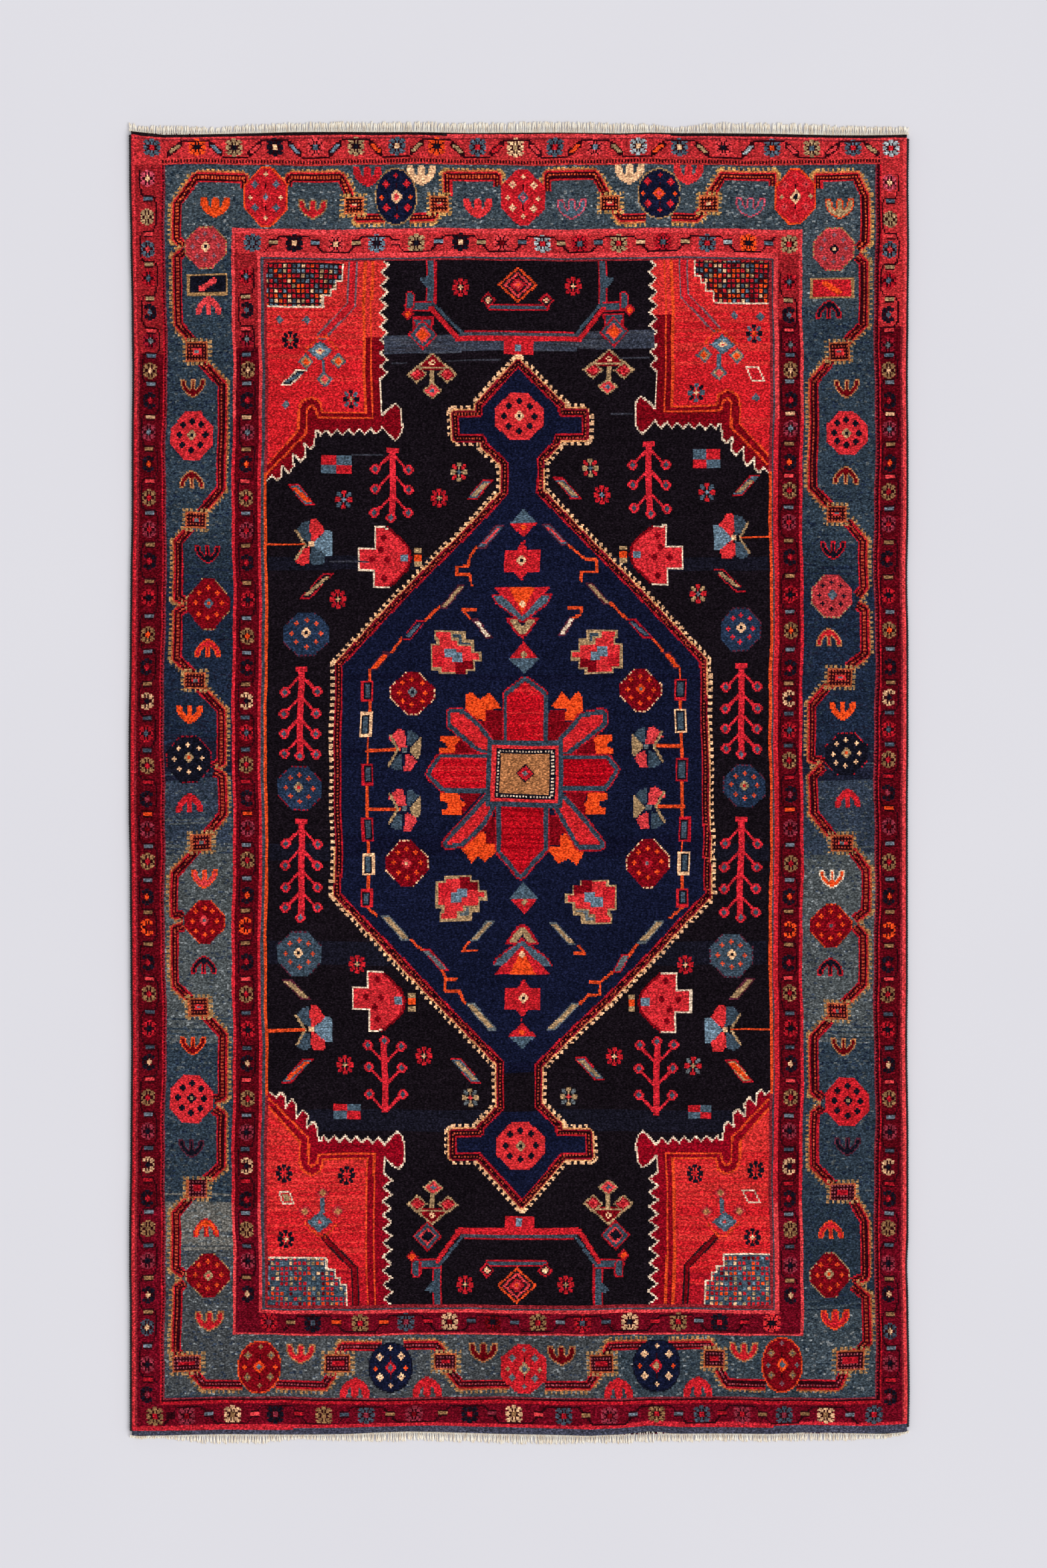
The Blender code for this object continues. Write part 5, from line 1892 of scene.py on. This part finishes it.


# %% [markdown]
# The overcast wool and the cotton warps are yarn of one colour each. Fine grains give the fibres and
# larger ones the strands, and together they choose between a darker and a lighter tone. On the cotton the
# strand grains are one warp wide, and their darker warps are partly painted shade between the warps.


# %% Yarn
def plain_yarn(name, colour, dark_colour, roughness, fibre_mm, strand_scale=(60.0, 60.0, 60.0)):
    """Undyed or one-dye yarn: lighter and darker fibres along the twist, and lighter and darker strands."""
    material = bpy.data.materials.new(name)
    material.use_nodes = True
    tree = material.node_tree
    tree.nodes.clear()
    where = node(tree, "ShaderNodeTexCoord").outputs["Object"]
    fibres = node(tree, "ShaderNodeTexNoise", {"Vector": where, "Scale": 1000 / fibre_mm, "Detail": 3.0})
    strands = node(tree, "ShaderNodeVectorMath", {0: where, 1: strand_scale}, operation="MULTIPLY")
    strand_tone_and_shade = node(tree, "ShaderNodeTexNoise", {"Vector": strands.outputs[0], "Scale": 1.0, "Detail": 1.0})
    mixed = node(tree, "ShaderNodeMath", {0: fibres.outputs["Fac"], 1: strand_tone_and_shade.outputs["Fac"]},
                 operation="ADD")
    blend = node(tree, "ShaderNodeMapRange", {"Value": mixed.outputs[0], "From Min": 0.8, "From Max": 1.12})
    colours = node(tree, "ShaderNodeMix", {"Factor": blend.outputs[0], "A": linear(dark_colour) + [1.0],
                                           "B": linear(colour) + [1.0]}, data_type="RGBA")
    bump = node(tree, "ShaderNodeBump", {"Height": fibres.outputs["Fac"], "Strength": 0.5,
                                         "Distance": 0.0005})
    shader = node(tree, "ShaderNodeBsdfPrincipled", {"Base Color": colours.outputs["Result"],
                                                     "Normal": bump.outputs[0], "Roughness": roughness,
                                                     "Specular IOR Level": 0.2, "Sheen Weight": 0.1})
    node(tree, "ShaderNodeOutputMaterial", {"Surface": shader.outputs[0]})
    return material


# %% [markdown]
# The turns follow the edge of the cloth from one end to the other. Their thickness varies by a few
# hundredths, as the wool was wound by hand.

# %% Copies along each edge
overcast = plain_yarn("overcast wool, near black", "#2A2228", "#120D11", 0.9, 1.2)
dice = np.random.default_rng(5)


def cord_of(name, side):
    """The overcast cord along one long edge."""
    radius = SIDE_CORD_DIAMETER / 2
    count = int((2 * PILE_END_REACH - 0.022) / WRAP_PITCH)
    along = np.linspace(0.004, 0.996, count)
    x, y = on_rug(np.full(count, 0.0 if side < 0 else 1.0), along, radius)

    def move(x0, y0, swell):
        return lambda corners: corners * (swell, 1.0, swell) + (x0, y0, radius * swell)

    placed = [move(x0, y0, swell) for x0, y0, swell in zip(x, y, dice.uniform(0.93, 1.0, count))]
    return add_piece(name, *copies(turn, placed), overcast)


cord_left = cord_of("overcast_cord_left", -1)
cord_right = cord_of("overcast_cord_right", 1)
bpy.data.objects.remove(turn, do_unlink=True)
print("cords", len(cord_left.data.polygons), len(cord_right.data.polygons), "faces")

# %% [markdown]
# ## The fringe
# The fringe is the cotton warps themselves, cut short. Each warp is two plies twisted together: two small
# circles are extruded and turned step by step round each other, and the copies lean and end unevenly.

# %% One warp end, two plies twisted
PLY_SIDES, PLY_STEPS = 5, 6
PLY_RADIUS = 0.00055
PLY_TWIST = 38               # degrees in each step
deselect_all()
for side in (-1, 1):
    bpy.ops.mesh.primitive_circle_add(vertices=PLY_SIDES, radius=PLY_RADIUS, fill_type="NGON",
                                      location=(side * PLY_RADIUS * 0.9, 0.0, 0.0),
                                      rotation=(-np.pi / 2, 0.0, 0.0))
    if side < 0:
        first_ply = bpy.context.object
    else:
        warp_end = bpy.context.object
first_ply.select_set(True)
bpy.ops.object.join()
warp_end.name = "warp_end"
bpy.ops.object.transform_apply(location=True, rotation=True, scale=True)
bpy.ops.object.mode_set(mode="EDIT")
bpy.ops.mesh.select_mode(type="FACE")
bpy.ops.mesh.select_all(action="SELECT")
for step in range(PLY_STEPS):
    bpy.ops.mesh.extrude_region_move(TRANSFORM_OT_translate={"value": (0.0, 1.0 / PLY_STEPS, 0.0)})
    bpy.ops.transform.rotate(value=np.radians(PLY_TWIST), orient_axis="Y",
                             center_override=(0.0, (step + 1.0) / PLY_STEPS, 0.0))
bpy.ops.mesh.select_all(action="SELECT")
bpy.ops.mesh.normals_make_consistent(inside=False)
bpy.ops.object.mode_set(mode="OBJECT")
print("one warp end:", len(warp_end.data.vertices), "corners,", len(warp_end.data.polygons), "faces")

# %% [markdown]
# The warp ends stand in one row along the end of the cloth. They grow from a narrow web, a low strip of
# plain weave, which is a rounded profile drawn along the end.

# %% Copies along each end, with the web that they grow from
# strand grains one warp wide: the darker warps are partly the cotton's own tone and partly painted shade
# between the warps
cotton = plain_yarn("cotton warp yarn, undyed", "#FFFBF0", "#E6D3BA", 0.92, 0.9, (420.0, 70.0, 60.0))
WARP_PITCH = 0.0029


def fringe_of(name, end):
    """The row of warp ends and the web strip at one end of the rug."""
    along = 0.5 + end / 2
    first = -RUG_WIDTH / 2 + eased(SIDE_EDGES_MM, 1, end * PILE_END_REACH) + 0.0015
    last = RUG_WIDTH / 2 - eased(SIDE_EDGES_MM, 2, end * PILE_END_REACH) - 0.0015
    count = int((last - first) / WARP_PITCH)
    xs = np.linspace(first, last, count)
    shares = np.linspace(0, 1, 200)
    line_x, line_y = on_rug(shares, np.full(200, along), SIDE_CORD_DIAMETER / 2)
    roots = np.interp(xs, line_x, line_y * end) + SEAM_GAP
    longest = eased(END_EDGES_MM, 3 if end > 0 else 4, xs)

    def move(x0, root, length, lean, curl, height, thick):
        def shaped(corners):
            share = corners[:, 1]
            out = root + share * length
            across = x0 + corners[:, 0] * thick + lean * share + curl * np.sin(share * np.pi)
            up = height * (1 - 0.55 * share) + corners[:, 2] * thick
            out = np.minimum(out, RUG_LENGTH / 2)
            return np.stack([across, end * out, np.maximum(up, 0.0)], axis=-1)
        return shaped

    lengths = longest * dice.uniform(0.80, 1.05, count)
    leans = dice.normal(0.0, 0.0011, count)
    curls = dice.normal(0.0, 0.0005, count)
    heights = dice.uniform(0.0026, 0.0040, count)
    thicks = dice.uniform(1.0, 1.5, count)
    placed = [move(*row) for row in zip(xs, roots, lengths, leans, curls, heights, thicks)]
    points, faces = copies(warp_end, placed)
    if end < 0:
        faces = [face[::-1] for face in faces]
    # the web: a low rounded strip along the end of the cloth
    profile = np.array([(0.0, 0.0), (WEB_DEPTH, 0.0), (WEB_DEPTH, 0.0009), (WEB_DEPTH * 0.6, 0.0018),
                        (0.0, 0.0022)])
    web_x = np.linspace(first - 0.0010, last + 0.0010, 240)
    web_y = np.interp(web_x, line_x, line_y * end) + SEAM_GAP
    shift = len(points)
    rings = np.array([[(x0, end * (y0 + out), up) for out, up in profile] for x0, y0 in zip(web_x, web_y)])
    sides = len(profile)
    web_faces = []
    for here in range(len(web_x) - 1):
        for side in range(sides):
            a, b = shift + here * sides + side, shift + here * sides + (side + 1) % sides
            web_faces.append([a, b, b + sides, a + sides])
    web_faces.append([shift + side for side in range(sides)][::-1])
    web_faces.append([shift + (len(web_x) - 1) * sides + side for side in range(sides)])
    if end > 0:
        web_faces = [face[::-1] for face in web_faces]
    return add_piece(name, np.vstack([points, rings.reshape(-1, 3)]), faces + web_faces, cotton)


fringe_top = fringe_of("warp_fringe_top", 1)
fringe_bottom = fringe_of("warp_fringe_bottom", -1)
bpy.data.objects.remove(warp_end, do_unlink=True)
for piece in (fringe_top, fringe_bottom):
    print(piece.name, len(piece.data.polygons), "faces")

# %% [markdown]
# ## Floor and light
# The rug lies on a plain pale floor, with only a faint cloudiness in it.

# %% Floor
FLOOR_SIZE = 80.0            # so large that its edge shows from no side
floor_material = bpy.data.materials.new("matte pale floor")
floor_material.use_nodes = True
tree = floor_material.node_tree
tree.nodes.clear()
where = node(tree, "ShaderNodeTexCoord").outputs["Object"]
grain = node(tree, "ShaderNodeTexNoise", {"Vector": where, "Scale": 2.0, "Detail": 2.0})
mixed = node(tree, "ShaderNodeMix", {"Factor": grain.outputs["Fac"], "A": linear("#DEDDE4") + [1.0],
                                     "B": linear("#E2E1E7") + [1.0]}, data_type="RGBA")
shader = node(tree, "ShaderNodeBsdfPrincipled", {"Base Color": mixed.outputs["Result"], "Roughness": 0.9,
                                                 "Specular IOR Level": 0.1})
node(tree, "ShaderNodeOutputMaterial", {"Surface": shader.outputs[0]})
deselect_all()
bpy.ops.mesh.primitive_plane_add(size=FLOOR_SIZE, location=(0.0, 0.0, -0.0005))
floor = bpy.context.object
floor.name = "floor"
bpy.ops.object.transform_apply(location=True, rotation=True, scale=True)
floor.data.materials.append(floor_material)
print("floor:", floor.dimensions.x, "m wide")

# %% [markdown]
# The photograph has even light with soft shadows. A large soft panel high above one side gives the pile a
# little shape, and the pale surroundings fill the rest.

# %% Light
FILL = 0.70                  # share of the light that comes from all round
world = bpy.data.worlds.new("pale room")
bpy.context.scene.world = world
world.use_nodes = True
world.node_tree.nodes["Background"].inputs["Color"].default_value = (1.0, 1.0, 1.0, 1.0)
world.node_tree.nodes["Background"].inputs["Strength"].default_value = FILL
deselect_all()
SUN_TILT, SUN_TURN, SUN_SPREAD = 48.0, 70.0, 30.0    # degrees
bpy.ops.object.light_add(type="SUN", location=(0.0, 0.0, 3.0),
                         rotation=(np.radians(SUN_TILT), 0.0, np.radians(SUN_TURN)))
key = bpy.context.object
key.name = "soft_panel"
key.data.angle = np.radians(SUN_SPREAD)
key.data.energy = np.pi * (1 - FILL) / np.cos(np.radians(SUN_TILT))
scene = bpy.context.scene
scene.view_settings.view_transform = "Standard"
scene.view_settings.look = "None"
scene.view_settings.exposure = 0.0
scene.view_settings.gamma = 1.0
print("light", round(key.data.energy, 2), "W per square metre")

# %% [markdown]
# ## Bodies
# Every piece rides on the rug's one body, and the part of the CAD model that it stands for is hidden.

# %% Bodies, and the CAD parts hidden
cad_names = {"foundation": "pile", "pile_field": "pile", "pile_border": "pile",
             "overcast_cord_left": "side_cord_left", "overcast_cord_right": "side_cord_right",
             "warp_fringe_top": "fringe_top", "warp_fringe_bottom": "fringe_bottom"}
pieces = [foundation, pile_field, pile_border, cord_left, cord_right, fringe_top, fringe_bottom]
for piece in pieces:
    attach(piece, "root")
    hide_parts(cad_names[piece.name])
print("pieces:", len(pieces))

# %% [markdown]
# Last, the script says that it is done.

# %% Finish
print("scene built")
